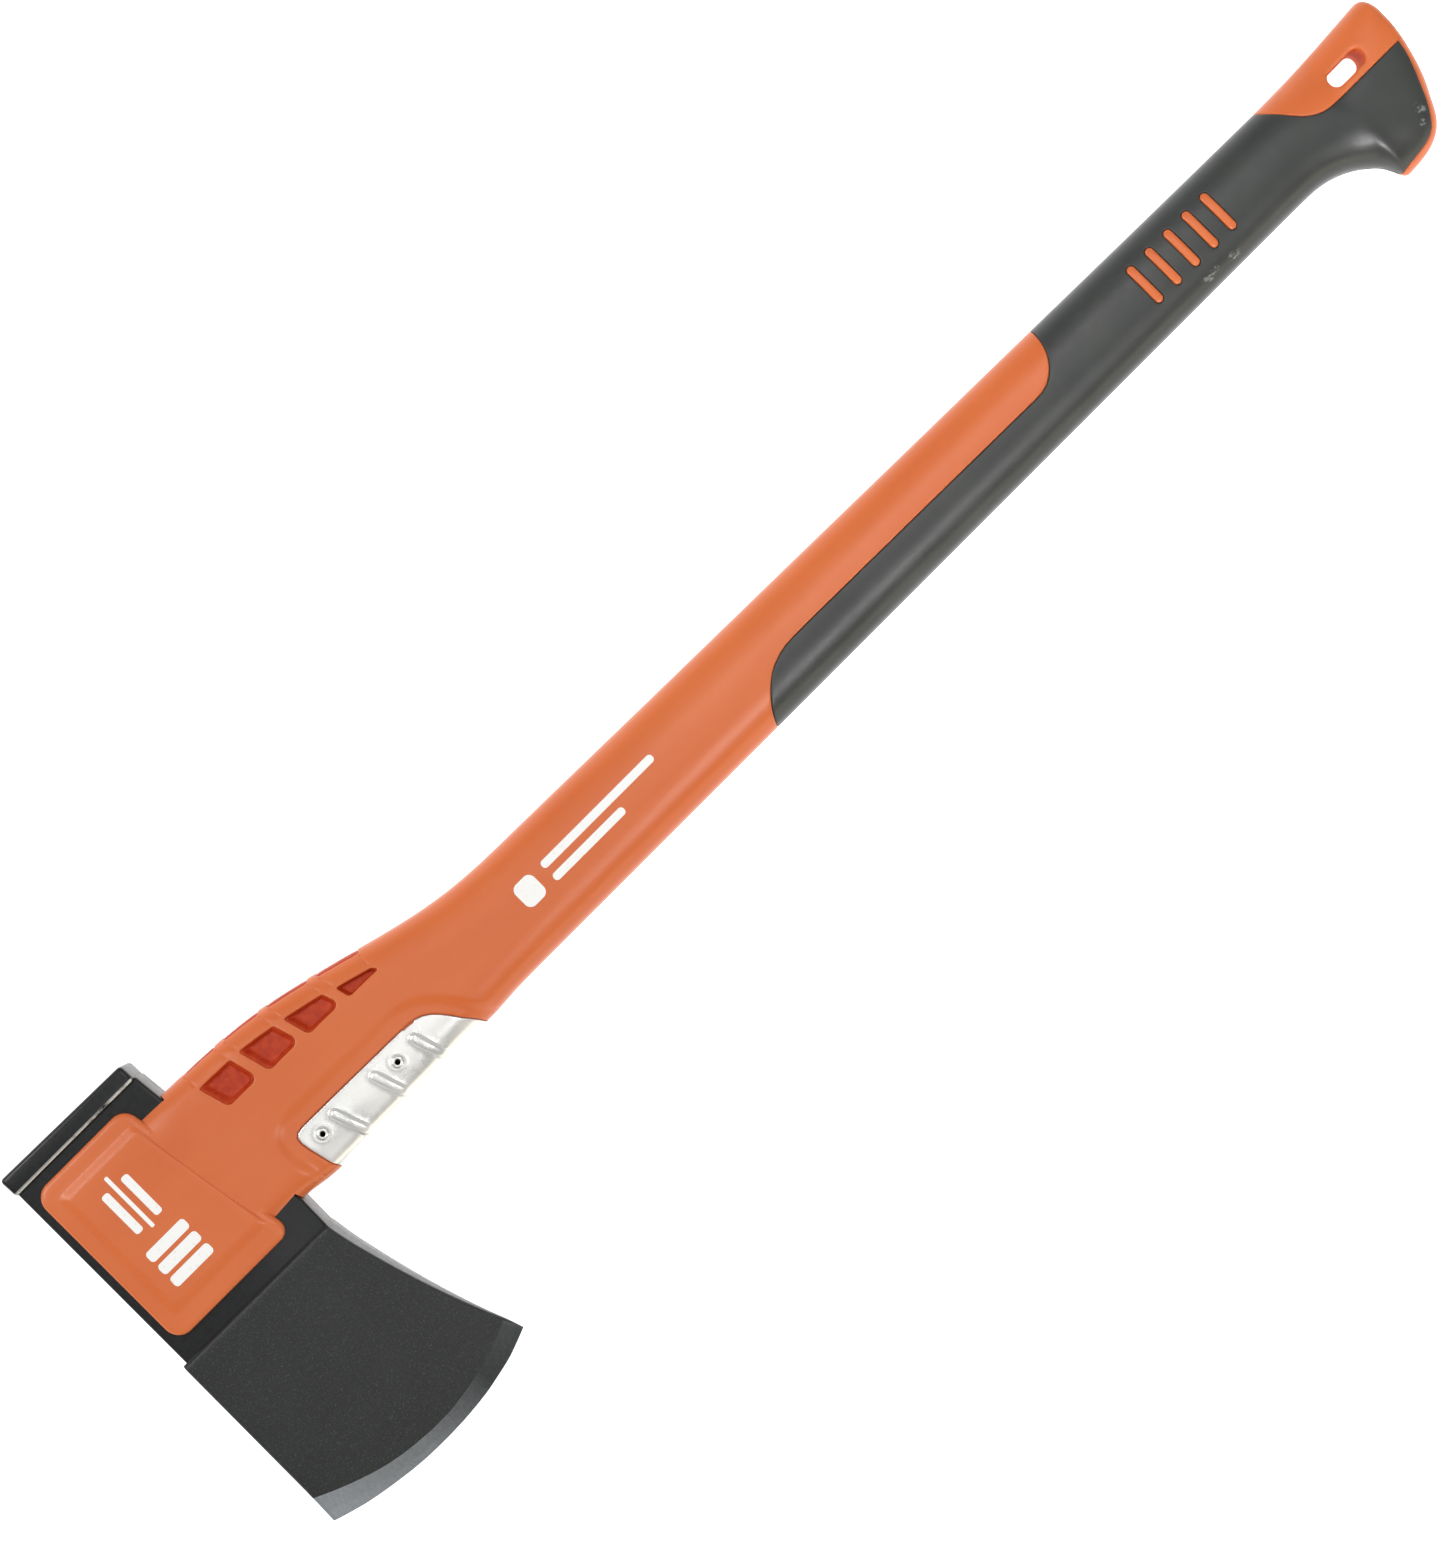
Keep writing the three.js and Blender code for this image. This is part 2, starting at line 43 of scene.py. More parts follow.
# ------------------------------------------------------------------ form tables (mm, as in the CAD source)
BACK = [(-300, 76.2), (-296, 76.2), (-286, 76.2), (-278, 76.15), (-270.3, 75.95), (-262.5, 75.8), (-254.8, 75.45),
        (-247, 74.85), (-239.2, 74.1), (-231.5, 73.05), (-223.7, 71.7), (-215.9, 70.05), (-208.2, 68.2),
        (-200.4, 66.3), (-192.6, 64.3), (-184.9, 62.15), (-177.1, 60.1), (-169.3, 58.15), (-161.6, 56.4),
        (-153.8, 54.95), (-146, 53.8), (-138.3, 53.05), (-130.5, 52.55), (-122.7, 52.3), (-107.2, 52.05),
        (-83.9, 51.65), (-45.1, 50.95), (-6.3, 50.3), (32.6, 49.7), (71.4, 49.05), (110.2, 48.4), (149.1, 47.8),
        (187.9, 47.15), (226.7, 46.5), (265.6, 45.95), (288.9, 45.7), (304.4, 45.85), (319.9, 46.5), (331, 47.25),
        (337, 47.65), (341, 47.95), (343.5, 48.15), (345.4, 48.2), (347.0, 47.85), (348.3, 46.8), (349.2, 45.1), (349.7, 43.0), (349.93, 41.0), (350, 39.4)]
FRONT = [(-300, 9.3), (-296, 9.3), (-278, 9.3), (-270, 9.2), (-263.7, 8.6), (-257, 7.6), (-251, 7.15), (-240, 7.1),
         (-200, 7.1), (-175, 7.1), (-166, 7.15), (-160, 7.5), (-153, 7.9), (-147, 8.03), (-120, 8.05), (0, 8.05), (150, 8.05),
         (265, 8.05), (277, 8.03), (282.7, 7.9), (286.5, 7.55), (290.4, 6.85), (294.3, 5.65), (298.2, 3.95),
         (302.1, 1.6), (306.3, -1.65), (309.6, -5.3), (311.6, -8.9), (312.8, -11.6), (313.8, -13.2), (315.0, -13.6),
         (316.7, -13.5), (319.5, -13.4), (322.4, -13.1), (325.2, -12.7), (327.8, -12.1), (330.4, -11.1), (332.6, -9.9),
         (335.3, -7.7), (337.75, -4.6), (340.55, 0.9), (343.6, 7.1), (345.7, 12.9), (347.4, 19.1), (348.75, 25.2), (349.55, 31.1),
         (349.88, 35.6), (350, 38.6)]
HALF_THICK = [(-300, 14.9), (-288, 14.9), (-262, 14.1), (-256, 14.0), (-240, 13.95), (-200, 14.0), (-160, 13.95),
              (-120, 13.8), (0, 13.4), (200, 12.8), (280, 12.5), (310, 12.45), (326, 12.3), (335, 12.1), (341, 11.8), (345, 11.35),
              (347.4, 10.7), (348.9, 9.7), (349.7, 8.0), (350, 5.0)]
EXPONENT = [(-300, 5), (-285, 4.8), (-260, 4.2), (-200, 3.4), (-150, 2.85), (-100, 2.65), (280, 2.6), (296, 2.4), (306, 2.1), (316, 2.0), (326, 2.4), (336, 3.1), (350, 3.6)]

GRIP_FRONT = [(-10.6, 6.6), (-10.3, 7.6), (-9.6, 9.7), (-8.44, 12.2), (-6.9, 14.7), (-4.98, 17.2), (-3.05, 19.4), (-1.13, 21.25),
              (0.8, 22.9), (2.73, 24.3), (4.65, 25.45), (6.58, 26.35), (10.43, 27.65), (14.28, 28.35), (18.13, 28.6),
              (30, 28.6), (60, 28.25), (90, 27.9), (120, 27.5), (143, 27.25), (149, 27.15), (153, 27.4), (156, 28.3), (158.8, 29.9), (161.4, 32.2),
              (163.35, 34.7), (164.8, 37.4), (165.9, 40.3), (166.7, 43.8), (167.2, 46.5), (167.5, 50)]
GRIP_BUTT = [(286.6, 49), (287.0, 47.5), (288.15, 45.3), (289.8, 43.1), (291.7, 40.8), (293.95, 37.95), (296.2, 34.95), (298.5, 32.15),
             (300.9, 29.9), (303.2, 28.4), (305.9, 27.2), (309, 26.55), (312.8, 26.3), (320, 26.25), (330, 26.2), (338, 26.18), (346.1, 26.15)]
GRIP_RIM = [(346.1, 26.15), (345.5, 22.2), (344.3, 17.9), (342.6, 13.3), (340.75, 8.7), (338.6, 3.5), (336.3, -1.1), (334.2, -4.4),
            (332.3, -6.9), (329.6, -8.7), (326, -9.8), (322.4, -10.4), (316.7, -11.1), (313.5, -11.5), (311.0, -11.9), (309, -12.6)]
WINDOWS = [
    [(-266.6, 67.2), (-250.3, 66.8), (-247.1, 54.1), (-262.8, 54.1)],
    [(-245.8, 66.7), (-229.3, 64.2), (-225.8, 52.9), (-242.0, 52.9)],
    [(-224.7, 63.4), (-207.4, 59.6), (-204.8, 52.0), (-221.5, 52.1)],
    [(-202.0, 57.6), (-187.0, 53.5), (-184.6, 51.1), (-200.3, 51.3)]]
WINDOW_R = [[0.7, 1.5, 2.9, 2.9], [0.7, 1.5, 2.9, 2.9], [0.7, 1.3, 2.3, 2.7], [0.6, 1.2, 0.8, 1.9]]
SPINE_WINDOWS = [(-268.6, -251.8), (-247.6, -230.6), (-226.6, -208.6), (-204.6, -186.4)]
GUARD = [(-249.7, 6.6), (-250.1, 7.6), (-251.2, 9.7), (-252.3, 15.4), (-253.3, 20.3), (-253.9, 24.4), (-253.5, 26.9), (-252.0, 28.4),
         (-248.9, 29.0), (-240, 28.95), (-220, 28.7), (-200, 28.4), (-193, 28.25), (-189.2, 27.75), (-186.0, 26.6), (-183.1, 24.7),
         (-180.5, 22.0), (-178.0, 18.7), (-175.1, 14.1), (-172.3, 10.1), (-170.4, 7.4), (-169.9, 6.2)]
RIVETS = [(-245.2, 21.2), (-205.2, 20.4)]
RIBS = [(-237.1, 25.2, -231.7, 8.0), (-215.9, 24.5, -211.1, 8.0), (-194.8, 24.1, -190.5, 8.0)]
BARS = dict(xs=[210.2, 220.2, 230.2, 240.2, 250.1], y0=19.3, y1=38.1, w=3.6)
SLOT = dict(x=324.4, y=33.0, lx=17.4, ly=7.2, r=3.45)
GRIP_SKIN, PLATE_T, WALL = 2.4, 1.2, 3.0


# ------------------------------------------------------------------ small maths
def pchip(table):
    """Smooth, monotone interpolation of a table."""
    x = np.array([t[0] for t in table], float)
    y = np.array([t[1] for t in table], float)
    h, d = np.diff(x), np.diff(y) / np.diff(x)
    m = np.zeros_like(x)
    for i in range(1, len(x) - 1):
        if d[i - 1] * d[i] > 0:
            w1, w2 = 2 * h[i] + h[i - 1], h[i] + 2 * h[i - 1]
            m[i] = (w1 + w2) / (w1 / d[i - 1] + w2 / d[i])
    m[0], m[-1] = d[0], d[-1]

    def f(q):
        q = np.clip(np.asarray(q, float), x[0], x[-1])
        i = np.clip(np.searchsorted(x, q, "right") - 1, 0, len(x) - 2)
        t = (q - x[i]) / h[i]
        return (y[i] * (1 + 2 * t) * (1 - t) ** 2 + m[i] * h[i] * t * (1 - t) ** 2
                + y[i + 1] * t * t * (3 - 2 * t) + m[i + 1] * h[i] * t * t * (t - 1))
    return f


def smooth(a, b, v):
    t = np.clip((v - a) / (b - a), 0, 1)
    return t * t * (3 - 2 * t)


class Handle:
    """The handle's outer form: x along it, s from 0 at the back edge over the upper side to 1 at the front edge."""
    NS = 321

    def __init__(self):
        self.gx = np.unique(np.concatenate([np.arange(-300, 300, 1.0), np.arange(300, 344, 0.4), np.arange(344, 350.01, 0.1)]))
        back, front, half, expo = pchip(BACK), pchip(FRONT), pchip(HALF_THICK), pchip(EXPONENT)
        yb, yf, b, n = back(self.gx), front(self.gx), half(self.gx), expo(self.gx)
        a, c = np.maximum((yb - yf) / 2, 0.3), (yb + yf) / 2
        th = np.linspace(0, math.pi, 1441)
        co, si = np.cos(th), np.sin(th)
        NX = len(self.gx)
        self.Y, self.Z, self.L = np.zeros((NX, self.NS)), np.zeros((NX, self.NS)), np.zeros(NX)
        for i in range(NX):
            e = 2 / n[i]
            y = c[i] + a[i] * np.sign(co) * np.abs(co) ** e
            z = b[i] * np.abs(si) ** e
            z[0] = z[-1] = 0
            L = np.concatenate([[0], np.cumsum(np.hypot(np.diff(y), np.diff(z)))])
            q = np.linspace(0, L[-1], self.NS)
            self.Y[i], self.Z[i], self.L[i] = np.interp(q, L, y), np.interp(q, L, z), L[-1]
        # outward normals
        X = np.repeat(self.gx[:, None], self.NS, 1)
        du = [np.gradient(X, self.gx, axis=0), np.gradient(self.Y, self.gx, axis=0), np.gradient(self.Z, self.gx, axis=0)]
        sg = np.linspace(0, 1, self.NS)
        dv = [np.zeros_like(X), np.gradient(self.Y, sg, axis=1), np.gradient(self.Z, sg, axis=1)]
        N = np.stack([du[1] * dv[2] - du[2] * dv[1], du[2] * dv[0] - du[0] * dv[2], du[0] * dv[1] - du[1] * dv[0]], -1)
        mid = N[NX // 2, self.NS // 2, 2]
        if mid < 0:
            N = -N
        N[:, 0, 2] = N[:, -1, 2] = 0
        self.N = N / np.maximum(np.linalg.norm(N, axis=-1, keepdims=True), 1e-9)

    def _w(self, x, s):
        x = np.clip(np.asarray(x, float), self.gx[0], self.gx[-1])
        i = np.clip(np.searchsorted(self.gx, x, "right") - 1, 0, len(self.gx) - 2)
        tx = (x - self.gx[i]) / (self.gx[i + 1] - self.gx[i])
        s = np.clip(np.asarray(s, float), 0, 1) * (self.NS - 1)
        j = np.clip(s.astype(int), 0, self.NS - 2)
        return i, tx, j, s - j

    def _get(self, A, i, tx, j, ts):
        if A.ndim == 3:
            tx, ts = tx[..., None], ts[..., None]
        return (A[i, j] * (1 - tx) + A[i + 1, j] * tx) * (1 - ts) + (A[i, j + 1] * (1 - tx) + A[i + 1, j + 1] * tx) * ts

    def length(self, x):
        return np.interp(x, self.gx, self.L)

    def point(self, x, s, d=0.0):
        i, tx, j, ts = self._w(x, s)
        y, z, n = self._get(self.Y, i, tx, j, ts), self._get(self.Z, i, tx, j, ts), self._get(self.N, i, tx, j, ts)
        n = n / np.maximum(np.linalg.norm(n, axis=-1, keepdims=True), 1e-9)
        p = np.stack([np.asarray(x, float) * np.ones_like(y), y, z], -1) - n * np.asarray(d, float)[..., None]
        edge = (np.asarray(s) <= 1e-9) | (np.asarray(s) >= 1 - 1e-9)
        p[..., 2] = np.where(edge, 0.0, np.maximum(p[..., 2], 0.0))
        return p

    def s_of(self, x, y):
        """The s at which the section at x has this y."""
        x, y = np.atleast_1d(x).astype(float), np.atleast_1d(y).astype(float)
        out = np.zeros_like(x)
        for k in range(len(x)):
            i, tx, _, _ = self._w(x[k], 0.0)
            row = self.Y[i] * (1 - tx) + self.Y[i + 1] * tx
            out[k] = np.interp(-y[k], -row, np.linspace(0, 1, self.NS))
        return out


H = Handle()


def to_plane(pts):
    """Plan view points to the unrolled plane (x, arc length from the back edge)."""
    p = np.array(pts, float)
    return np.stack([p[:, 0], H.s_of(p[:, 0], p[:, 1]) * H.length(p[:, 0])], -1)


def arcs(pts, radii, step=0.35):
    """Closed polygon with rounded corners."""
    out, n = [], len(pts)
    P = [np.array(p, float) for p in pts]
    for i in range(n):
        a, c, b, r = P[i - 1], P[i], P[(i + 1) % n], radii[i] if hasattr(radii, "__len__") else radii
        da, db = (a - c) / np.linalg.norm(a - c), (b - c) / np.linalg.norm(b - c)
        half = math.acos(np.clip(da @ db, -1, 1)) / 2
        r = min(r, 0.45 * min(np.linalg.norm(a - c), np.linalg.norm(b - c)) * math.tan(half))
        t = r / math.tan(half)
        m = (da + db) / np.linalg.norm(da + db) * (r / math.sin(half)) + c
        v0, v1 = c + da * t - m, c + db * t - m
        a0 = math.atan2(v0[1], v0[0])
        turn = math.atan2(v0[0] * v1[1] - v0[1] * v1[0], v0 @ v1)
        k = max(2, int(abs(turn) * r / step))
        out += [m + r * np.array([math.cos(a0 + turn * q / k), math.sin(a0 + turn * q / k)]) for q in range(k + 1)]
    return np.array(out)


def densify(p, step, closed=False):
    p = np.array(p, float)
    q = np.vstack([p, p[:1]]) if closed else p
    out = []
    for a, b in zip(q[:-1], q[1:]):
        k = max(1, int(math.ceil(np.linalg.norm(b - a) / step)))
        out += [a + (b - a) * i / k for i in range(k)]
    if not closed:
        out.append(q[-1])
    return np.array(out)


def spline(p, step, closed=False):
    """Catmull-Rom curve through points, resampled about evenly."""
    p = np.array(p, float)
    q = np.vstack([p[-1:], p, p[:2]]) if closed else np.vstack([2 * p[0] - p[1], p, 2 * p[-1] - p[-2]])
    out = []
    for i in range(1, len(q) - 2):
        a, b, c, d = q[i - 1], q[i], q[i + 1], q[i + 2]
        for t in np.linspace(0, 1, 13)[:-1]:
            out.append(0.5 * (2 * b + (c - a) * t + (2 * a - 5 * b + 4 * c - d) * t * t + (3 * b - a - 3 * c + d) * t ** 3))
    if not closed:
        out.append(p[-1])
    o = np.array(out)
    if closed:
        o = np.vstack([o, o[:1]])
    L = np.concatenate([[0], np.cumsum(np.linalg.norm(np.diff(o, axis=0), axis=1))])
    k = max(4, int(round(L[-1] / step)))
    q = np.linspace(0, L[-1], k + 1)
    r = np.stack([np.interp(q, L, o[:, 0]), np.interp(q, L, o[:, 1])], -1)
    return r[:-1] if closed else r


def area2(p):
    x, y = p[:, 0], p[:, 1]
    return float(np.sum(x * np.roll(y, -1) - np.roll(x, -1) * y))


def offset(p, d, closed):
    """Moves a polyline to its right by d (outward, for a counter-clockwise polygon)."""
    if abs(d) < 1e-9:
        return p.copy()
    if closed:
        a, b = np.roll(p, 1, 0), np.roll(p, -1, 0)
    else:
        a, b = np.vstack([2 * p[0] - p[1], p[:-1]]), np.vstack([p[1:], 2 * p[-1] - p[-2]])
    t0, t1 = p - a, b - p
    t0 /= np.maximum(np.linalg.norm(t0, axis=1, keepdims=True), 1e-9)
    t1 /= np.maximum(np.linalg.norm(t1, axis=1, keepdims=True), 1e-9)
    n0, n1 = np.stack([t0[:, 1], -t0[:, 0]], -1), np.stack([t1[:, 1], -t1[:, 0]], -1)
    m = n0 + n1
    m /= np.maximum(np.linalg.norm(m, axis=1, keepdims=True), 1e-9)
    k = d / np.maximum(0.5, np.sum(m * n1, 1))
    return p + m * k[:, None]


def seg_dist(P, C, closed=False):
    """Distance of points P to polyline C."""
    A = C
    B = np.roll(C, -1, 0) if closed else C[1:]
    if not closed:
        A = C[:-1]
    out = np.full(len(P), 1e9)
    for i in range(0, len(P), 4000):
        p = P[i:i + 4000, None, :]
        ab = (B - A)[None]
        t = np.clip(np.sum((p - A[None]) * ab, -1) / np.maximum(np.sum(ab * ab, -1), 1e-12), 0, 1)
        q = A[None] + ab * t[..., None] - p
        out[i:i + 4000] = np.sqrt(np.min(np.sum(q * q, -1), 1))
    return out


def inside(P, poly):
    x, y = P[:, 0], P[:, 1]
    a, b = poly, np.roll(poly, -1, 0)
    r = np.zeros(len(P), bool)
    for (x0, y0), (x1, y1) in zip(a, b):
        if y0 == y1:
            continue
        hit = ((y0 > y) != (y1 > y)) & (x < (x1 - x0) * (y - y0) / (y1 - y0) + x0)
        r ^= hit
    return r


# ------------------------------------------------------------------ sheet of triangles in the unrolled plane
class Plane:
    """Collects points, rings and depths in the unrolled plane, and triangulates them."""

    def __init__(self, x0, x1, rows=44, step=3.0, xs=None):
        self.x0, self.x1 = x0, x1
        if xs is None:
            a = np.linspace(x0, min(x1, 300.0), max(2, int((min(x1, 300.0) - x0) / step)))
            xs = list(a)
            if x1 > 300:
                xs += list(np.arange(301.3, min(x1, 343), 1.3)) + [v for v in (343.9, 344.9, 345.7, 346.4, 347.0, 347.5, 347.95, 348.35, 348.75, 349.1, 349.4, 349.65, 349.83, 349.95, 350.0) if v < x1 + 1e-6]
                if xs[-1] < x1 - 1e-6:
                    xs.append(x1)
        self.xs = np.array(xs)
        L = H.length(self.xs)
        S = np.linspace(0, 1, rows + 1)
        self.grid = np.stack([np.repeat(self.xs, rows + 1), (L[:, None] * S[None]).ravel()], -1)
        self.rings, self.cores, self.near = [], [], []

    def curve(self, p, closed, profile, clear=0.9):
        """profile: [(offset, depth)], offset positive outward. The rings are constraint edges."""
        if closed and area2(p) < 0:
            p = p[::-1]
        offs = [o for o, _ in profile]
        for o, d in profile:
            q = offset(p, o, closed)
            self.rings.append((q, closed, d))
        self.cores.append((p, closed, max(offs) + clear * 0.55, -min(offs) + clear * 0.55))

    def build(self, depth_of, keep=None):
        """depth_of(points) for the plain grid points; keep(centroids) picks the triangles."""
        g = self.grid
        ok = np.ones(len(g), bool)
        for p, closed, out, inn in self.cores:
            near = seg_dist(g, p, closed) < max(out, inn)
            ok &= ~near
        pts, dep, edges = [g[ok]], [depth_of(g[ok])], []
        n = int(ok.sum())
        for q, closed, d in self.rings:
            L = H.length(q[:, 0])
            q = q.copy()
            inside_ok = (q[:, 1] > -1e-6) & (q[:, 1] < L + 1e-6) & (q[:, 0] > self.x0 - 1e-6) & (q[:, 0] < self.x1 + 1e-6)
            if not closed:      # the ends of an open curve lie on the plane's border
                idx = np.nonzero(inside_ok)[0]
                if len(idx) < 2:
                    continue
                q = q[idx[0]:idx[-1] + 1]
                for e in (0, -1):
                    Le = H.length(q[e, 0])
                    q[e, 1] = 0.0 if q[e, 1] < Le / 2 else Le
            dd = d(q) if callable(d) else np.full(len(q), float(d))
            pts.append(q)
            dep.append(dd)
            m = len(q)
            edges += [(n + i, n + i + 1) for i in range(m - 1)] + ([(n + m - 1, n)] if closed else [])
            n += m
        P, D = np.vstack(pts), np.concatenate(dep)
        # border edges
        L = H.length(P[:, 0])
        for mask in (P[:, 1] < 1e-6, P[:, 1] > L - 1e-6):
            idx = np.nonzero(mask)[0]
            idx = idx[np.argsort(P[idx, 0])]
            edges += [(int(a), int(b)) for a, b in zip(idx[:-1], idx[1:])]
        for xe in (self.x0, self.x1):
            idx = np.nonzero(np.abs(P[:, 0] - xe) < 1e-6)[0]
            idx = idx[np.argsort(P[idx, 1])]
            edges += [(int(a), int(b)) for a, b in zip(idx[:-1], idx[1:])]
        V, _, F, OV, _, _ = delaunay_2d_cdt([Vector(p) for p in P], edges, [], 0, 1e-5)
        V = np.array([v[:] for v in V])
        depth = np.zeros(len(V))
        for i, o in enumerate(OV):
            if len(o):
                depth[i] = max(D[k] for k in o)
            else:
                k = int(np.argmin(np.sum((P - V[i]) ** 2, 1)))
                depth[i] = D[k]
        T = np.array([f for f in F if len(f) == 3])
        C = V[T].mean(1)
        Lc = H.length(C[:, 0])
        good = (C[:, 1] > 0) & (C[:, 1] < Lc) & (C[:, 0] > self.x0) & (C[:, 0] < self.x1)
        if keep is not None:
            good &= keep(C)
        T = T[good]
        a, b, c = V[T[:, 0]], V[T[:, 1]], V[T[:, 2]]
        ar = (b[:, 0] - a[:, 0]) * (c[:, 1] - a[:, 1]) - (b[:, 1] - a[:, 1]) * (c[:, 0] - a[:, 0])
        T = T[np.abs(ar) > 1e-9]
        used = np.unique(T)
        remap = -np.ones(len(V), int)
        remap[used] = np.arange(len(used))
        return V[used], depth[used], remap[T]


def new_object(name, verts, faces, material=None, angle=35.0):
    me = bpy.data.meshes.new(name)
    v = (np.asarray(verts, float) + np.array([CX, 0, CZ])) * MM
    me.from_pydata(v.tolist(), [], [tuple(int(i) for i in f) for f in faces])
    me.validate()
    ob = bpy.data.objects.new(name, me)
    bpy.context.scene.collection.objects.link(ob)
    if material:
        me.materials.append(material)
    finish_mesh(ob, angle)
    return ob


def finish_mesh(ob, angle=35.0, weld=2e-6):
    me = ob.data
    bm = bmesh.new()
    bm.from_mesh(me)
    bmesh.ops.remove_doubles(bm, verts=bm.verts, dist=weld)
    bmesh.ops.dissolve_degenerate(bm, dist=1e-7, edges=bm.edges)
    bmesh.ops.recalc_face_normals(bm, faces=bm.faces)
    bm.to_mesh(me)
    bm.free()
    me.polygons.foreach_set("use_smooth", [True] * len(me.polygons))
    me.set_sharp_from_angle(angle=math.radians(angle))
    me.update()


def no_flat(T, s):
    """Leaves out the slivers whose corners all lie on one border."""
    T = np.asarray(T)
    q = s[T]
    return T[~(((q == 0).all(1)) | ((q == 1).all(1)))]


def border_edges(T):
    e = {}
    for t in T:
        for a, b in ((t[0], t[1]), (t[1], t[2]), (t[2], t[0])):
            e[(min(a, b), max(a, b))] = e.get((min(a, b), max(a, b)), 0) + 1
    return [k for k, n in e.items() if n == 1]


def thick_patch(V, D, T, inner, mirror=True, slot_wall=None):
    """Closed solid between depth D and depth inner over the triangles T, with its mirror image below."""
    L = H.length(V[:, 0])
    s = V[:, 1] / np.maximum(L, 1e-9)
    s = np.where(s < 1e-7, 0, np.where(s > 1 - 1e-7, 1, s))
    T = no_flat(T, s)
    top = H.point(V[:, 0], s, D)
    low = H.point(V[:, 0], s, np.broadcast_to(np.asarray(inner, float), D.shape))
    n = len(V)
    verts = [top, low]
    faces = [list(t) for t in T] + [[t[0] + n, t[2] + n, t[1] + n] for t in T]
    onb = (s == 0) | (s == 1)
    for a, b in border_edges(T):
        if onb[a] and onb[b] and (s[a] == s[b]):
            continue
        faces.append([a, b, b + n, a + n])
    verts = np.vstack(verts)
    if mirror:
        m = verts * np.array([1, 1, -1])
        k = len(verts)
        faces = faces + [[i + k for i in f][::-1] for f in faces]
        verts = np.vstack([verts, m])
    return verts, faces


def boolean(ob, other, op="DIFFERENCE", solver="MANIFOLD"):
    m = ob.modifiers.new("cut", "BOOLEAN")
    m.object, m.operation, m.solver = other, op, solver
    dg = bpy.context.evaluated_depsgraph_get()
    me = bpy.data.meshes.new_from_object(ob.evaluated_get(dg))
    ob.modifiers.clear()
    old = ob.data
    ob.data = me
    bpy.data.meshes.remove(old)
    od = other.data
    bpy.data.objects.remove(other)
    bpy.data.meshes.remove(od)
    return ob


def prism_ob(name, poly, z0, z1):
    p = np.array(poly)
    if area2(p) < 0:
        p = p[::-1]
    n = len(p)
    v = np.vstack([np.column_stack([p, np.full(n, z0)]), np.column_stack([p, np.full(n, z1)])])
    f = [list(range(n))[::-1], [i + n for i in range(n)]] + [[i, (i + 1) % n, (i + 1) % n + n, i + n] for i in range(n)]
    return new_object(name, v, f)


def loft_ob(name, rings, material=None, angle=35.0):
    """Closed skin through rings of equal length."""
    n = len(rings[0])
    v = np.vstack(rings)
    f = []
    for i in range(len(rings) - 1):
        for j in range(n):
            a, b = i * n + j, i * n + (j + 1) % n
            f.append([a, b, b + n, a + n])
    f.append(list(range(n))[::-1])
    f.append([(len(rings) - 1) * n + j for j in range(n)])
    return new_object(name, v, f, material, angle)


def trim_open(q):
    """Keeps the part of an open curve that lies inside the plane and carries both ends to its border."""
    L = H.length(q[:, 0])
    ok = (q[:, 1] > 0.12) & (q[:, 1] < L - 0.12)
    idx = np.nonzero(ok)[0]
    q = q[idx[0]:idx[-1] + 1]
    ends = []
    for e, f in ((0, 1), (-1, -2)):
        p, d = q[e], q[e] - q[f]
        Le = float(H.length(p[0]))
        target = 0.0 if p[1] < Le / 2 else Le
        t = (target - p[1]) / d[1] if abs(d[1]) > 0.15 * abs(d[0]) + 1e-9 else 0.0
        x = p[0] + np.clip(d[0] * t, -1.0, 1.0)
        ends.append(np.array([x, 0.0 if target == 0.0 else float(H.length(x))]))
    return np.vstack([ends[0], q, ends[1]])


# ------------------------------------------------------------------ feature curves in the unrolled plane
G1 = spline(to_plane(densify(GRIP_FRONT, 1.5)), 0.8)
G2a = spline(to_plane(densify(GRIP_BUTT, 1.0)), 0.6)
G2b = spline(to_plane(densify(GRIP_RIM, 0.8)), 0.5)
G2 = np.vstack([G2a[:-1], G2b])
G3 = spline(to_plane(densify(GUARD, 1.0)), 0.7)
WIN = [to_plane(arcs(w, r)) for w, r in zip(WINDOWS, WINDOW_R)]
WIN = [densify(w, 0.8, True) for w in WIN]
SLOT_P = to_plane(arcs([(SLOT["x"] - SLOT["lx"] / 2, SLOT["y"] - SLOT["ly"] / 2), (SLOT["x"] + SLOT["lx"] / 2, SLOT["y"] - SLOT["ly"] / 2),
                        (SLOT["x"] + SLOT["lx"] / 2, SLOT["y"] + SLOT["ly"] / 2), (SLOT["x"] - SLOT["lx"] / 2, SLOT["y"] + SLOT["ly"] / 2)], SLOT["r"]))
SLOT_P = densify(SLOT_P, 0.7, True)


def stadium(x0, y0, x1, y1, w, step=0.35):
    """Outline of a round-ended bar between two end points of its box."""
    a, b = np.array([x0, y0], float), np.array([x1, y1], float)
    u = (b - a) / np.linalg.norm(b - a)
    v = np.array([-u[1], u[0]])
    r = w / 2
    a, b = a + u * r, b - u * r
    k = max(8, int(math.pi * r / step))
    th = np.linspace(0, math.pi, k + 1)
    pts = [b + r * (v * math.cos(t) + u * math.sin(t)) for t in th] + [a + r * (-v * math.cos(t) - u * math.sin(t)) for t in th]
    return densify(np.array(pts), 0.8, True)


BAR_P = [to_plane(stadium(x, BARS["y0"], x, BARS["y1"], BARS["w"])) for x in BARS["xs"]]
VALLEY = 1.5


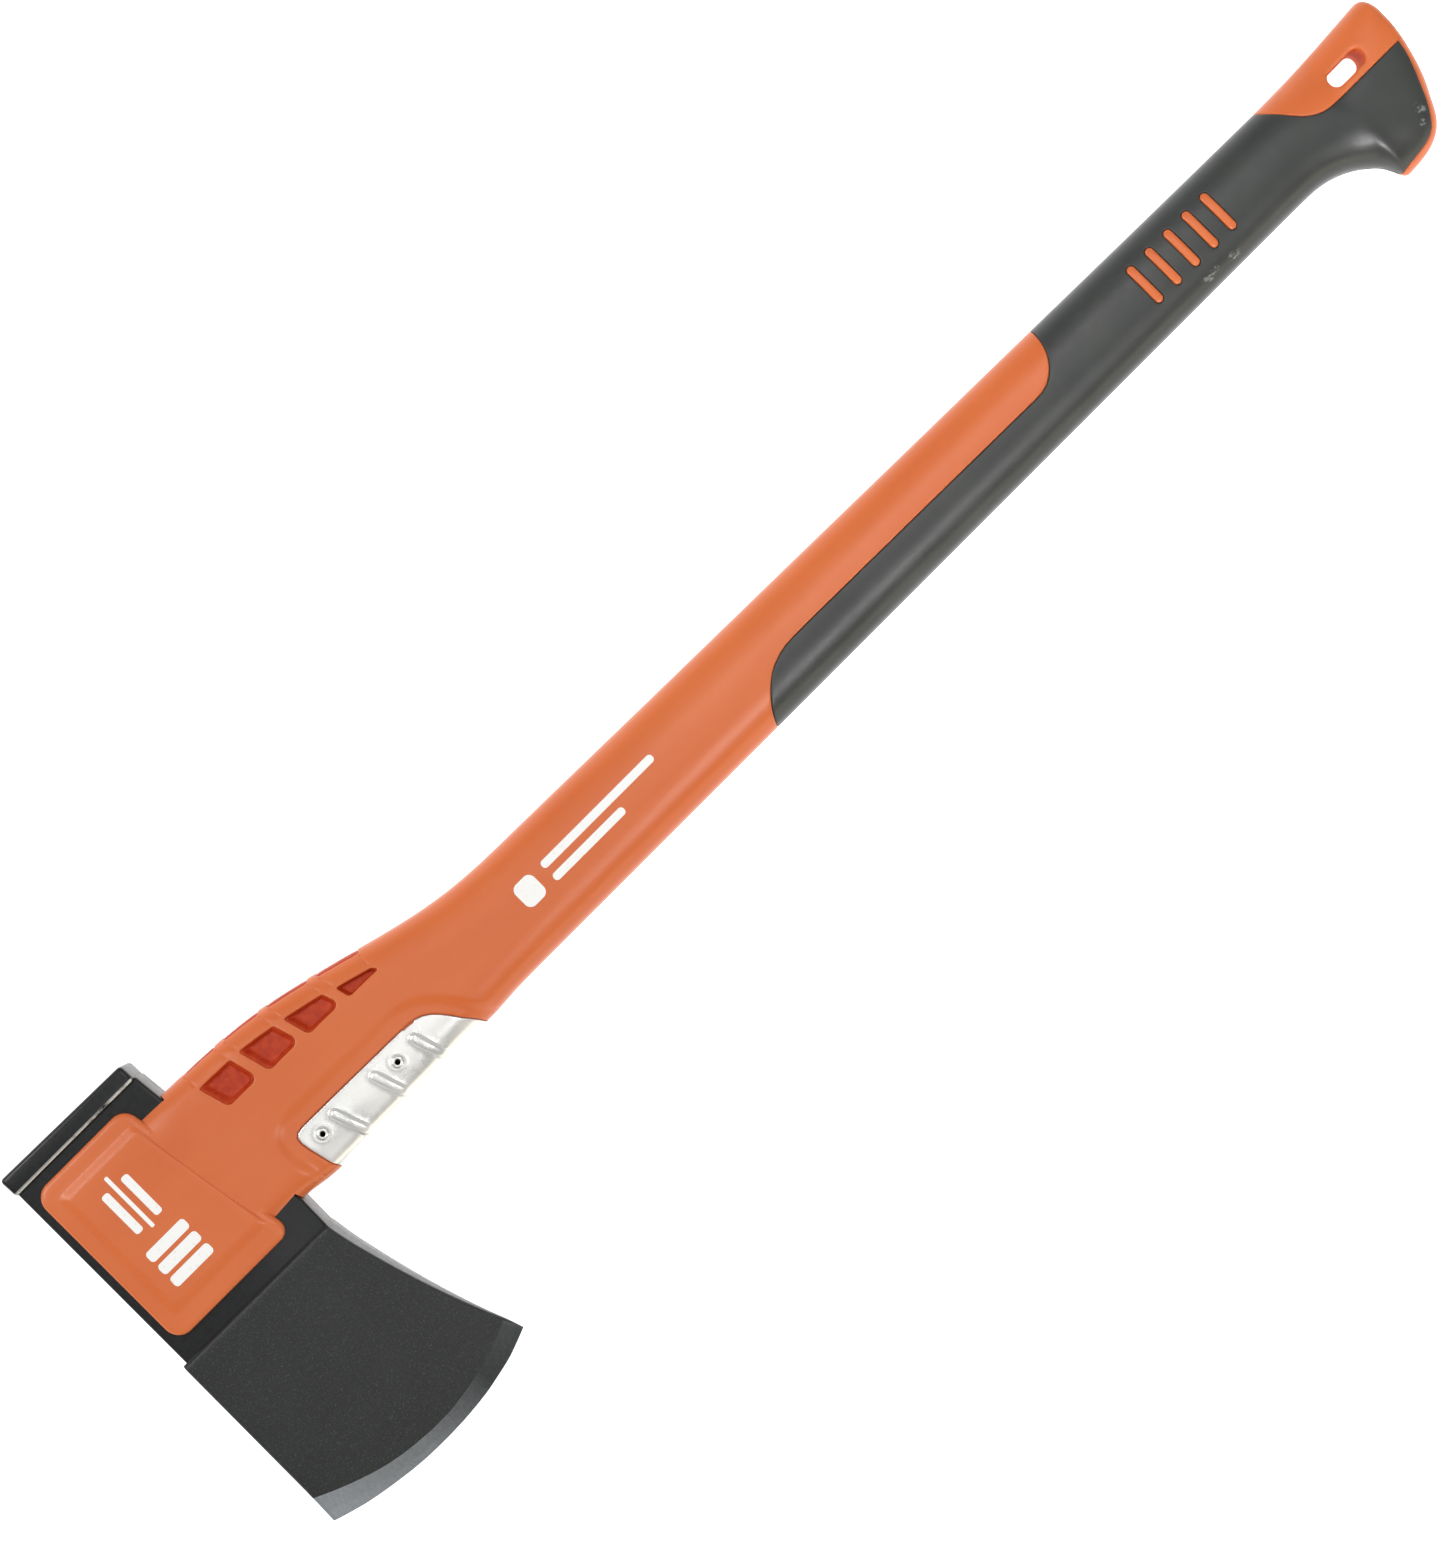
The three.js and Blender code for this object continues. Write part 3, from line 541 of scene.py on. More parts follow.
def bridge_grooves():
    """Fine grooves in the moulding, from the upper corners of each side window up to the spine window above it."""
    out = []
    for w, (a, b) in zip(WINDOWS, SPINE_WINDOWS):
        top = 8.6 + 1.3
        for (wx, wy), sx in ((w[0], a + 0.4), (w[1], b - 0.4)):
            lo = to_plane([(wx, wy)])[0]
            hi = np.array([sx, top])
            lo = lo + (hi - lo) / np.linalg.norm(hi - lo) * 1.6
            if np.linalg.norm(hi - lo) > 2.5:
                out.append(stadium(lo[0], lo[1], hi[0], hi[1], 0.9, 0.3))
    return out


GROOVES = bridge_grooves()


def front_fade(P):
    s = P[:, 1] / np.maximum(H.length(P[:, 0]), 1e-9)
    return 1 - smooth(0.80, 0.965, s)


def valley(P):
    """The moulding dips towards the guard, so that the sheet lies flush with it."""
    d = np.zeros(len(P))
    near = (P[:, 0] > -275) & (P[:, 0] < -150)
    if near.any():
        q = P[near]
        dist = seg_dist(q, G3)
        poly = np.vstack([G3, [[G3[-1, 0], 200], [G3[0, 0], 200]]])
        dist = np.where(inside(q, poly), -dist, dist)
        d[near] = VALLEY * (1 - smooth(3.8, 9.2, dist)) * front_fade(q)
    return d


def grip_region():
    return np.vstack([G1, [[G1[-1, 0], -30], [G2[0, 0], -30]], G2, [[G2[-1, 0], 200], [G1[0, 0], 200]]])


def guard_region(off=0.0):
    g = offset(G3, off, False)
    return np.vstack([g, [[g[-1, 0], 200], [g[0, 0], 200]]])


# patched ring handling: open curves are trimmed to the border
def _build_rings(self):
    out = []
    for q, closed, d in self.rings:
        out.append((q if closed else trim_open(q), closed, d))
    self.rings = out


_plain_build = Plane.build


def build(self, depth_of, keep=None):
    _build_rings(self)
    return _plain_build(self, depth_of, keep)


Plane.build = build


# ------------------------------------------------------------------ materials
def srgb(r, g, b):
    def f(c):
        c /= 255
        return c / 12.92 if c <= 0.04045 else ((c + 0.055) / 1.055) ** 2.4
    return (f(r), f(g), f(b), 1.0)


class Mat:
    def __init__(self, name, color, rough=0.5, metal=0.0):
        self.m = bpy.data.materials.new(name)
        self.m.use_nodes = True
        self.t = self.m.node_tree
        self.b = self.t.nodes["Principled BSDF"]
        self.b.inputs["Base Color"].default_value = color
        self.b.inputs["Roughness"].default_value = rough
        self.b.inputs["Metallic"].default_value = metal
        self.co = self.t.nodes.new("ShaderNodeTexCoord").outputs["Object"]
        self.normal = None

    def node(self, kind, **kw):
        n = self.t.nodes.new(kind)
        for k, v in kw.items():
            setattr(n, k, v)
        return n

    def link(self, a, b):
        self.t.links.new(a, b)

    def noise(self, scale, detail=3.0, rough=0.5, stretch=None, distort=0.0):
        n = self.node("ShaderNodeTexNoise")
        n.inputs["Scale"].default_value = scale
        n.inputs["Detail"].default_value = detail
        n.inputs["Roughness"].default_value = rough
        n.inputs["Distortion"].default_value = distort
        if stretch:
            mp = self.node("ShaderNodeMapping")
            mp.inputs["Scale"].default_value = stretch
            self.link(self.co, mp.inputs["Vector"])
            self.link(mp.outputs[0], n.inputs["Vector"])
        else:
            self.link(self.co, n.inputs["Vector"])
        return n.outputs["Fac"]

    def ramp(self, fac, stops):
        r = self.node("ShaderNodeValToRGB")
        while len(r.color_ramp.elements) < len(stops):
            r.color_ramp.elements.new(0.5)
        for e, (p, c) in zip(r.color_ramp.elements, stops):
            e.position = p
            e.color = c if hasattr(c, "__len__") else (c, c, c, 1)
        self.link(fac, r.inputs["Fac"])
        return r.outputs["Color"]

    def mix(self, fac, a, b):
        n = self.node("ShaderNodeMix", data_type="RGBA")
        for v, i in ((a, 6), (b, 7)):
            if hasattr(v, "is_output"):
                self.link(v, n.inputs[i])
            else:
                n.inputs[i].default_value = v
        if hasattr(fac, "is_output"):
            self.link(fac, n.inputs[0])
        else:
            n.inputs[0].default_value = fac
        return n.outputs[2]

    def map(self, v, a, b, lo, hi):
        n = self.node("ShaderNodeMapRange")
        self.link(v, n.inputs[0])
        for i, q in zip((1, 2, 3, 4), (a, b, lo, hi)):
            n.inputs[i].default_value = q
        return n.outputs[0]

    def math(self, op, a, b=None):
        n = self.node("ShaderNodeMath", operation=op)
        for v, i in ((a, 0), (b, 1)):
            if v is None:
                continue
            if hasattr(v, "is_output"):
                self.link(v, n.inputs[i])
            else:
                n.inputs[i].default_value = v
        return n.outputs[0]

    def bump(self, height, strength, dist):
        n = self.node("ShaderNodeBump")
        n.inputs["Strength"].default_value = strength
        n.inputs["Distance"].default_value = dist
        self.link(height, n.inputs["Height"])
        if self.normal is not None:
            self.link(self.normal, n.inputs["Normal"])
        self.normal = n.outputs["Normal"]
        self.link(self.normal, self.b.inputs["Normal"])

    def set(self, name, out):
        self.link(out, self.b.inputs[name])

    def xyz(self):
        n = self.node("ShaderNodeSeparateXYZ")
        self.link(self.co, n.inputs[0])
        return n.outputs


def make_materials():
    M = {}
    # orange moulding: satin, faint flow mottling, fine spark-eroded grain
    m = Mat("orange_moulding", srgb(212, 106, 52), 0.3)
    flow = m.noise(22, 4, 0.6, (0.35, 1, 1))
    fine = m.noise(900, 2, 0.6)
    m.set("Base Color", m.mix(m.map(flow, 0.3, 0.7, 0, 1), srgb(210, 102, 48), srgb(219, 113, 58)))
    m.set("Roughness", m.map(m.noise(160, 3, 0.5), 0.3, 0.7, 0.295, 0.335))
    m.b.inputs["Specular IOR Level"].default_value = 0.5
    m.bump(m.noise(45, 2, 0.4), 0.06, 0.0006)
    m.bump(fine, 0.08, 0.00008)
    M["orange"] = m.m
    # a lighter, duller copy of the same plastic for the wall of the hanging slot: painted light that lifts the shade
    # inside the slot
    m = Mat("orange_slot_painted_light", srgb(222, 110, 58), 0.6)
    m.set("Base Color", m.mix(m.map(m.noise(300, 3, 0.6), 0.3, 0.7, 0, 1), srgb(218, 106, 52), srgb(228, 118, 64)))
    m.b.inputs["Specular IOR Level"].default_value = 0.12
    m.bump(m.noise(900, 2, 0.6), 0.15, 0.0001)
    M["orange_slot_painted_light"] = m.m
    # red fibre core: glass-filled, finely speckled
    m = Mat("red_core", srgb(178, 56, 30), 0.42)
    sp = m.mix(m.map(m.noise(320, 3, 0.6), 0.35, 0.65, 0, 1), srgb(178, 51, 19), srgb(197, 68, 28))
    m.set("Base Color", m.mix(m.map(m.noise(1500, 2, 0.6, (0.35, 1, 1)), 0.62, 0.72, 0, 0.5), sp, srgb(208, 92, 52)))
    m.set("Roughness", m.map(m.noise(500, 2, 0.5), 0.3, 0.7, 0.36, 0.5))
    m.b.inputs["Specular IOR Level"].default_value = 0.24
    m.bump(m.noise(1100, 2, 0.6, (0.3, 1, 1)), 0.22, 0.00012)
    M["red"] = m.m
    # soft grip: rubber with a faint bloom and small scuffs low on the hand side
    m = Mat("soft_grip", srgb(60, 62, 60), 0.46)
    base = m.mix(m.map(m.noise(34, 4, 0.6), 0.3, 0.7, 0, 1), srgb(48, 50, 49), srgb(59, 61, 59))
    x, y, z = m.xyz()
    spot = None
    for px, py, rx, ry in ((231.0, 13.5, 5.0, 2.2), (243.5, 12.5, 3.4, 2.0), (333.0, 1.5, 2.6, 3.2), (330.5, -3.0, 1.6, 1.8)):
        dx = m.math("DIVIDE", m.math("SUBTRACT", x, (px + CX) * MM), rx * MM)
        dy = m.math("DIVIDE", m.math("SUBTRACT", y, py * MM), ry * MM)
        r2 = m.math("ADD", m.math("MULTIPLY", dx, dx), m.math("MULTIPLY", dy, dy))
        f = m.map(r2, 0.3, 1.0, 1, 0)
        spot = f if spot is None else m.math("MAXIMUM", spot, f)
    scuff = m.math("MULTIPLY", spot, m.map(m.noise(420, 4, 0.75, (0.5, 1, 1)), 0.50, 0.58, 0, 0.7))
    m.set("Base Color", m.mix(scuff, base, srgb(150, 152, 150)))
    m.set("Roughness", m.map(m.noise(420, 3, 0.6), 0.3, 0.7, 0.28, 0.38))
    m.b.inputs["Specular IOR Level"].default_value = 0.55
    m.b.inputs["Sheen Weight"].default_value = 0.06
    m.b.inputs["Sheen Roughness"].default_value = 0.35
    m.bump(m.noise(60, 3, 0.5), 0.12, 0.0006)
    m.bump(m.noise(1500, 2, 0.55), 0.18, 0.0001)
    M["black"] = m.m
    # white print
    m = Mat("white_print", srgb(250, 250, 248), 0.5)
    m.set("Base Color", m.mix(m.map(m.noise(700, 3, 0.6), 0.25, 0.4, 0, 1), srgb(238, 226, 216), srgb(251, 251, 249)))
    M["print"] = m.m
    # zinc sheet
    m = Mat("zinc_sheet", srgb(235, 234, 230), 0.3, 0.72)
    gl = m.noise(60, 4, 0.6)
    m.set("Base Color", m.mix(m.map(gl, 0.3, 0.7, 0, 1), srgb(228, 228, 225), srgb(248, 246, 242)))
    m.set("Roughness", m.map(gl, 0.3, 0.7, 0.24, 0.36))
    m.bump(m.noise(90, 2, 0.4), 0.09, 0.0006)
    m.bump(m.noise(1200, 2, 0.6, (1, 0.15, 1)), 0.05, 0.00008)
    M["zinc"] = m.m
    m = Mat("rivet_steel", srgb(225, 225, 220), 0.26, 0.9)
    m.set("Roughness", m.map(m.noise(900, 3, 0.6), 0.3, 0.7, 0.2, 0.38))
    m.bump(m.noise(1500, 2, 0.6), 0.12, 0.0001)
    M["rivet"] = m.m
    # black coated forging, with a bright metallic strip along the poll's lower ridge, broken by noise and widest at the
    # left end
    m = Mat("coated_forging", srgb(24, 26, 26), 0.36, 0.0)
    x, y, z = m.xyz()
    n1 = m.noise(420, 4, 0.65)
    base = m.mix(m.map(n1, 0.3, 0.7, 0, 1), srgb(11, 13, 13), srgb(21, 23, 23))
    yd = m.math("ABSOLUTE", m.math("SUBTRACT", y, 0.0881))
    zz = m.math("ABSOLUTE", m.math("SUBTRACT", z, CZ * MM))
    # a bright, metallic strip along the poll's lower ridge, broken up by noise
    band = m.math("MULTIPLY", m.map(yd, 0.00025, 0.0008, 1, 0), m.map(zz, 0.0121, 0.0127, 0, 1))
    ridge_strip_noise = m.noise(160, 4, 0.7, (0.5, 1, 1))
    left = m.map(x, -0.325, -0.300, 0.12, 0.0)
    mask = m.math("MULTIPLY", band, m.map(m.math("ADD", ridge_strip_noise, left), 0.36, 0.50, 0, 1))
    m.set("Base Color", m.mix(mask, base, srgb(216, 216, 212)))
    m.set("Metallic", mask)
    m.set("Roughness", m.map(n1, 0.3, 0.7, 0.28, 0.42))
    m.b.inputs["Specular IOR Level"].default_value = 0.25
    m.b.inputs["Coat Weight"].default_value = 0.28
    m.b.inputs["Coat Roughness"].default_value = 0.18
    m.bump(m.noise(700, 3, 0.6), 0.3, 0.00015)
    m.bump(m.noise(60, 3, 0.5), 0.15, 0.0006)
    M["forging"] = m.m
    # blade cheeks: textured coating with fine speckle
    m = Mat("coated_blade", srgb(38, 41, 39), 0.46, 0.0)
    sp = m.noise(1700, 2, 0.8)
    cl = m.noise(20, 4, 0.6)
    base = m.mix(m.map(cl, 0.3, 0.7, 0, 1), srgb(28, 31, 30), srgb(37, 40, 39))
    m.set("Base Color", m.mix(m.map(sp, 0.56, 0.70, 0, 0.55), base, srgb(92, 97, 94)))
    m.set("Roughness", m.map(sp, 0.3, 0.7, 0.42, 0.56))
    m.b.inputs["Specular IOR Level"].default_value = 0.45
    m.bump(sp, 0.5, 0.00022)
    M["blade"] = m.m
    # ground bevel: painted reflection, light at the left end of the bevel and dark towards the right
    m = Mat("ground_bevel", srgb(150, 154, 157), 0.34, 0.85)
    g = m.noise(2600, 3, 0.6, (1, 0.10, 1))
    x, y, z = m.xyz()
    # painted reflection: the colour runs from light at the left end of the bevel to dark at the right
    painted_reflection_fac = m.ramp(m.map(x, -0.345, -0.255, 0, 1), [(0.0, 0.0), (0.45, 0.32), (0.85, 1.0)])
    m.set("Base Color", m.mix(painted_reflection_fac, m.mix(m.map(g, 0.3, 0.7, 0, 1), srgb(158, 162, 166), srgb(178, 182, 185)),
                              m.mix(m.map(g, 0.3, 0.7, 0, 1), srgb(58, 60, 60), srgb(72, 75, 75))))
    m.set("Roughness", m.map(g, 0.3, 0.7, 0.3, 0.42))
    m.bump(g, 0.1, 0.00006)
    M["bevel"] = m.m
    # near-black, dull paint for the tube rivets' inner wall: painted shade in the bore
    m = Mat("bore_painted_shade", srgb(20, 20, 20), 0.8, 0.0)
    m.set("Roughness", m.map(m.noise(900, 3, 0.6), 0.3, 0.7, 0.7, 0.9))
    m.b.inputs["Specular IOR Level"].default_value = 0.1
    M["bore"] = m.m
    m = Mat("pale_floor", (0.4, 0.4, 0.4, 1), 0.8)
    m.set("Base Color", m.mix(m.map(m.noise(3, 3, 0.5), 0.3, 0.7, 0, 1), (0.39, 0.39, 0.39, 1), (0.41, 0.41, 0.41, 1)))
    m.b.inputs["Specular IOR Level"].default_value = 0.0
    m.b.inputs["Emission Color"].default_value = (1, 1, 1, 1)
    m.b.inputs["Emission Strength"].default_value = 1.1
    M["floor"] = m.m
    return M


M = make_materials()


# ------------------------------------------------------------------ orange moulding
def surface_solid(V, D, T):
    """The outer skin and its mirror image, closed at the ends and through the hanging slot."""
    L = H.length(V[:, 0])
    s = V[:, 1] / np.maximum(L, 1e-9)
    s = np.where(s < 1e-7, 0, np.where(s > 1 - 1e-7, 1, s))
    T = no_flat(T, s)
    top = H.point(V[:, 0], s, D)
    n = len(V)
    verts = np.vstack([top, top * np.array([1, 1, -1])])
    faces = [list(t) for t in T] + [[t[0] + n, t[2] + n, t[1] + n] for t in T]
    for a, b in border_edges(T):
        if s[a] == s[b] and s[a] in (0.0, 1.0):
            continue
        faces.append([a, b, b + n, a + n])
    return verts, faces


def make_shell():
    pl = Plane(-296.0, 350.0, rows=46, step=3.0)
    rec = GRIP_SKIN + 0.35
    edge = [(1.0, 0.0), (0.55, 0.012), (0.26, 0.07), (0.09, 0.2), (0.0, 0.42), (-0.05, rec)]
    pl.curve(G1, False, edge)
    pl.curve(G2, False, edge)
    for w in WIN:
        pl.curve(w, True, [(0.9, 0.0), (0.45, 0.02), (0.2, 0.1), (0.05, 0.28), (0.0, 0.5), (-0.05, 5.0)])
    spine_rects = []
    for x0, x1 in SPINE_WINDOWS:
        L = float(H.length((x0 + x1) / 2))
        hs = 8.6
        r = densify(arcs([(x0, -6), (x1, -6), (x1, hs), (x0, hs)], 1.5), 0.8, True)
        k = int(np.argmax(np.diff(np.append(r[:, 1] < 0, r[0, 1] < 0).astype(int)) == 1))
        # open curve: from the back edge up, across and down again
        q = np.array([(x0, -0.5), (x0, 0.4), (x0, hs - 1.6)] + [(x0 + 1.6 - 1.6 * math.cos(t), hs - 1.6 + 1.6 * math.sin(t)) for t in np.linspace(0.2, math.pi / 2, 6)]
                     + [(x1 - 1.6 + 1.6 * math.sin(t), hs - 1.6 + 1.6 * math.cos(t)) for t in np.linspace(0, math.pi / 2 - 0.2, 6)] + [(x1, hs - 1.6), (x1, 0.4), (x1, -0.5)])
        q = densify(q[::-1], 0.8)
        spine_rects.append((x0, x1, hs))
        pl.curve(q, False, [(0.7, 0.0), (0.35, 0.02), (0.15, 0.1), (0.03, 0.26), (0.0, 0.45), (-0.05, 4.6)])
    for b in GROOVES:
        pl.curve(b, True, [(0.5, 0.0), (0.2, 0.05), (-0.05, 0.2), (-0.3, 0.3)], clear=0.35)
    for b in BAR_P:
        pl.curve(b, True, [(0.05, rec), (0.0, 0.6), (-0.12, 0.28), (-0.35, 0.08), (-0.75, -0.04), (-1.1, -0.08)], clear=0.4)
    pl.curve(SLOT_P, True, [(1.5, 0.0), (1.0, 0.04), (0.6, 0.16), (0.3, 0.36), (0.1, 0.65), (0.0, 1.05)])
    # valley and seat of the guard
    pl.curve(offset(G3, 6.5, False), False, [(3.6, valley), (2.4, valley), (1.2, valley), (0.0, valley), (-1.2, valley), (-2.4, valley), (-3.4, valley)], clear=1.2)
    pl.curve(G3, False, [(1.1, valley), (0.5, lambda q: valley(q) + 0.01), (0.2, lambda q: valley(q) + 0.08), (0.05, lambda q: valley(q) + 0.2),
                         (0.0, lambda q: valley(q) + 0.4), (-0.05, lambda q: valley(q) + PLATE_T + 0.2)])
    greg, preg = grip_region(), guard_region()

    def depth_of(P):
        d = valley(P)
        d = np.where(inside(P, preg), d + PLATE_T + 0.2, d)
        d = np.where(inside(P, greg), rec, d)
        for b in BAR_P:
            d = np.where(inside(P, b), -0.1, d)
        for b in GROOVES:
            d = np.where(inside(P, b), 0.3, d)
        for w in WIN:
            d = np.where(inside(P, w), 5.0, d)
        for x0, x1, hs in spine_rects:
            d = np.where((P[:, 0] > x0) & (P[:, 0] < x1) & (P[:, 1] < hs), 4.6, d)
        return d
    V, D, T = pl.build(depth_of, keep=lambda C: ~inside(C, SLOT_P))
    v, f = surface_solid(V, D, T)
    return new_object("orange_moulding", v, f, M["orange"])


def inset_sides(corners, dist):
    """Corners of a polygon whose sides are moved inwards, each by its own distance."""
    c = np.array(corners, float)
    n = len(c)
    dist = np.broadcast_to(np.asarray(dist, float), (n,))
    sg = 1.0 if area2(c) > 0 else -1.0
    lines = []
    for i in range(n):
        a, b = c[i], c[(i + 1) % n]
        u = (b - a) / np.linalg.norm(b - a)
        lines.append((a + sg * np.array([-u[1], u[0]]) * dist[i], u))
    out = []
    for i in range(n):
        (p, u), (q, v) = lines[i - 1], lines[i]
        t = ((q[0] - p[0]) * v[1] - (q[1] - p[1]) * v[0]) / (u[0] * v[1] - u[1] * v[0])
        out.append(p + u * t)
    return out


PAD_CORNERS, PAD_R = [(-341.2, 3.6), (-279.6, 3.6), (-292.4, 82.8), (-341.2, 82.8)], [7.0, 5.0, 7.0, 7.0]


def make_pad(sign):
    """Cheek pad: raised plateau with a soft slope all round and a rounded rim."""
    side = np.array([1.15, 0.28, 1.0, 0.9])
    prof = [(0.0, 12.3), (0.12, 12.95), (0.4, 13.4), (0.85, 13.72), (1.4, 13.9), (2.2, 14.0), (4.4, 14.08), (6.6, 14.16), (7.1, 14.22), (7.6, 14.36), (8.1, 14.56), (9.6, 15.14), (10.2, 15.34), (10.8, 15.45), (11.6, 15.5)]
    P, Z, E, n = [], [], [], 0
    for o, z in prof:
        d = np.where(o > 1.4, 1.4 + (o - 1.4) * side, o)
        r = [max(q - o * 0.6, 1.6) for q in PAD_R]
        q = densify(arcs(inset_sides(PAD_CORNERS, d), r, 0.6), 1.3, True)
        P.append(q)
        Z.append(np.full(len(q), z))
        m = len(q)
        E += [(n + i, n + (i + 1) % m) for i in range(m)]
        n += m
    outline, last = P[0], P[-1]
    gx, gy = np.meshgrid(np.arange(-332, -282, 3.0), np.arange(11, 77, 3.0))
    g = np.stack([gx.ravel(), gy.ravel()], -1)
    g = g[inside(g, last) & (seg_dist(g, last, True) > 1.2)]
    P.append(g)
    Z.append(np.full(len(g), 15.5))
    P, Z = np.vstack(P), np.concatenate(Z)
    V, _, F, OV, _, _ = delaunay_2d_cdt([Vector(p) for p in P], E, [], 0, 1e-4)
    V = np.array([v[:] for v in V])
    z = np.array([Z[o[0]] if len(o) else 14 for o in OV])
    T = np.array([f for f in F if len(f) == 3])
    C = V[T].mean(1)
    T = T[inside(C, outline)]
    base = BODY_T + 0.3
    n = len(V)
    verts = np.vstack([np.column_stack([V, z]), np.column_stack([V, np.full(n, base)])])
    faces = [list(t) for t in T] + [[t[0] + n, t[2] + n, t[1] + n] for t in T]
    for a, b in border_edges(T):
        faces.append([a, b, b + n, a + n])
    verts[:, 2] *= sign
    return new_object("pad", verts, faces, M["orange"], 40)


BODY_T = 11.0
POLL_T, ROOT_T, GRIND_T, EDGE_T = 13.0, 13.4, 1.7, 0.12
BODY_PLAN = [(-345.2, -6.5), (-269.0, -6.5), (-268.8, 8.9), (-279.8, 76), (-281.0, 88.5), (-345.2, 88.5)]
EDGE_ARC = [(-352, -87.2), (-349.9, -88), (-342.5, -90.3), (-334.8, -92.3), (-327, -93.75), (-319.2, -94.9), (-311.5, -95.8),
            (-303.7, -96.25), (-295.9, -96.35), (-288.2, -96.15), (-280.4, -95.6), (-272.6, -94.7), (-264.9, -93.2),
            (-257.1, -91.4), (-251.3, -89.4), (-244.7, -86.8), (-240, -84.8)]
GRIND_LINE = [(-352, -75), (-349.4, -76), (-342, -79.3), (-334.3, -82.4), (-326.5, -85.1), (-318.8, -87.2), (-311, -88.6),
              (-303.2, -89.4), (-295.5, -89.8), (-287.7, -89.6), (-280, -88.7), (-272.2, -87.3), (-264.5, -85.3), (-256.7, -82.8),
              (-247.4, -79.1), (-240, -76)]
HEEL = [(-100, -240.5), (-86.8, -244.7), (-81, -246.6), (-72.5, -249.9), (-62.5, -253.5), (-49.5, -257.7), (-36.5, -261.4),
        (-25, -264.3), (-15.4, -266.5), (-4.4, -268.3), (0, -268.8)]


def make_blade():
    """Wedge with ground bevels: rings run round the section, from the root to the cutting edge."""
    edge, grind, heel = pchip(EDGE_ARC), pchip(GRIND_LINE), pchip(HEEL)
    y_root = -4.2

    def left(y):
        return -347.4 + 2.5 * np.minimum((y + 4.2) / 83.8, 0.0)

    rows = []       # (blend position, half thickness, kind)
    for t in (0.0, 0.006, 0.016, 0.03, 0.05):
        rows.append((t, ROOT_T - 1.5 * (1 - min(1, t / 0.03)) ** 2, 0))
    for t in np.linspace(0.08, 0.985, 34):
        rows.append((t, None, 0))
    rows += [(0.993, None, 0), (1.0, None, 0), (1.012, None, 1), (1.05, None, 1), (1.2, None, 1), (1.4, None, 1), (1.55, None, 1), (1.62, None, 1), (1.75, None, 1), (1.9, None, 1), (1.97, None, 1), (2.0, None, 1)]
    K = 44
    rings = []
    for t, hh, _ in rows:
        # x limits depend on y, which depends on x: two passes settle it
        xl, xr = -349.9, -260.0
        xi = (1 - np.cos(np.linspace(0, math.pi, K))) / 2
        xi = 0.5 * xi + 0.5 * np.linspace(0, 1, K)

        def yat(x):
            g, e = grind(x), edge(x)
            return y_root + (g - y_root) * t if t <= 1 else g + (e - g) * (t - 1)
        for _ in range(6):
            xl = float(left(yat(np.array([xl]))[0]))
            xr = float(heel(yat(np.array([xr]))[0]))
        x = xl + (xr - xl) * xi
        y = yat(x)
        if t <= 1:
            h = ROOT_T + (GRIND_T - ROOT_T) * t
            h = h - (ROOT_T - hh if hh else 0)
        else:
            q = t - 1
            h = GRIND_T + (0.62 - GRIND_T) * min(1, q / 0.62) if q < 0.62 else 0.62 + (EDGE_T - 0.62) * (q - 0.62) / 0.38
        h = max(h, EDGE_T)
        r = min(1.3, 0.55 * h)
        # rounded long sides: the corner, then the flank down to the mid-plane and its mirror image
        dl, dr = x - xl, xr - x
        top = np.full(K, h)
        pts_top = [(a, b, h) for a, b in zip(x, y)]
        c = []
        for ang in np.linspace(math.pi / 2, 0, 6):
            c.append((1 - math.cos(ang), math.sin(ang)))       # from the top (ang=90) to the flank (ang=0)
        L = []
        yl, yr = float(yat(np.array([xl]))[0]), float(yat(np.array([xr]))[0])
        draft = 0.05
        tops = []
        for a, b in zip(x, y):
            if a - xl > r * 1.02 + draft * h and xr - a > r * 1.02 + draft * h:
                tops.append((a, b, h))
        # keep a fixed count by resampling between the two corners
        xa, xb = xl + r + draft * h, xr - r - draft * h
        xs = xa + (xb - xa) * xi
        ys = yat(xs)
        tops = list(zip(xs, ys, np.full(K, h)))
        right = [(xb + r * math.sin(w), None, h - r + r * math.cos(w)) for w in np.linspace(0.25, math.pi / 2, 5)]
        flank = [(xr - draft * zz, None, zz) for zz in np.linspace(h - r, 0, 5)[1:]]
        right = [(a, float(yat(np.array([min(a, xr)]))[0]), b) for a, _, b in right + flank]
        leftp = [(xa - r * math.sin(w), None, h - r + r * math.cos(w)) for w in np.linspace(0.25, math.pi / 2, 5)]
        flankl = [(xl + draft * zz, None, zz) for zz in np.linspace(h - r, 0, 5)[1:]]
        leftp = [(a, float(yat(np.array([max(a, xl)]))[0]), b) for a, _, b in leftp + flankl]
        half = leftp[::-1] + tops + right          # left mid-plane -> top -> right mid-plane
        low = [(a, b, -z) for a, b, z in half[1:-1]][::-1]
        rings.append(np.array(half + low))
    ob = loft_ob("blade", rings, M["forging"], 24)
    return ob


def bevelled(ob, width, segments=4, angle=30):
    m = ob.modifiers.new("bevel", "BEVEL")
    m.width, m.segments, m.limit_method, m.angle_limit = width * MM, segments, "ANGLE", math.radians(angle)
    m.harden_normals = False
    dg = bpy.context.evaluated_depsgraph_get()
    me = bpy.data.meshes.new_from_object(ob.evaluated_get(dg))
    ob.modifiers.clear()
    ob.data = me
    return ob


def box_ob(name, x0, x1, y0, y1, z0, z1, mat=None):
    return prism_obm(name, [(x0, y0), (x1, y0), (x1, y1), (x0, y1)], z0, z1, mat)


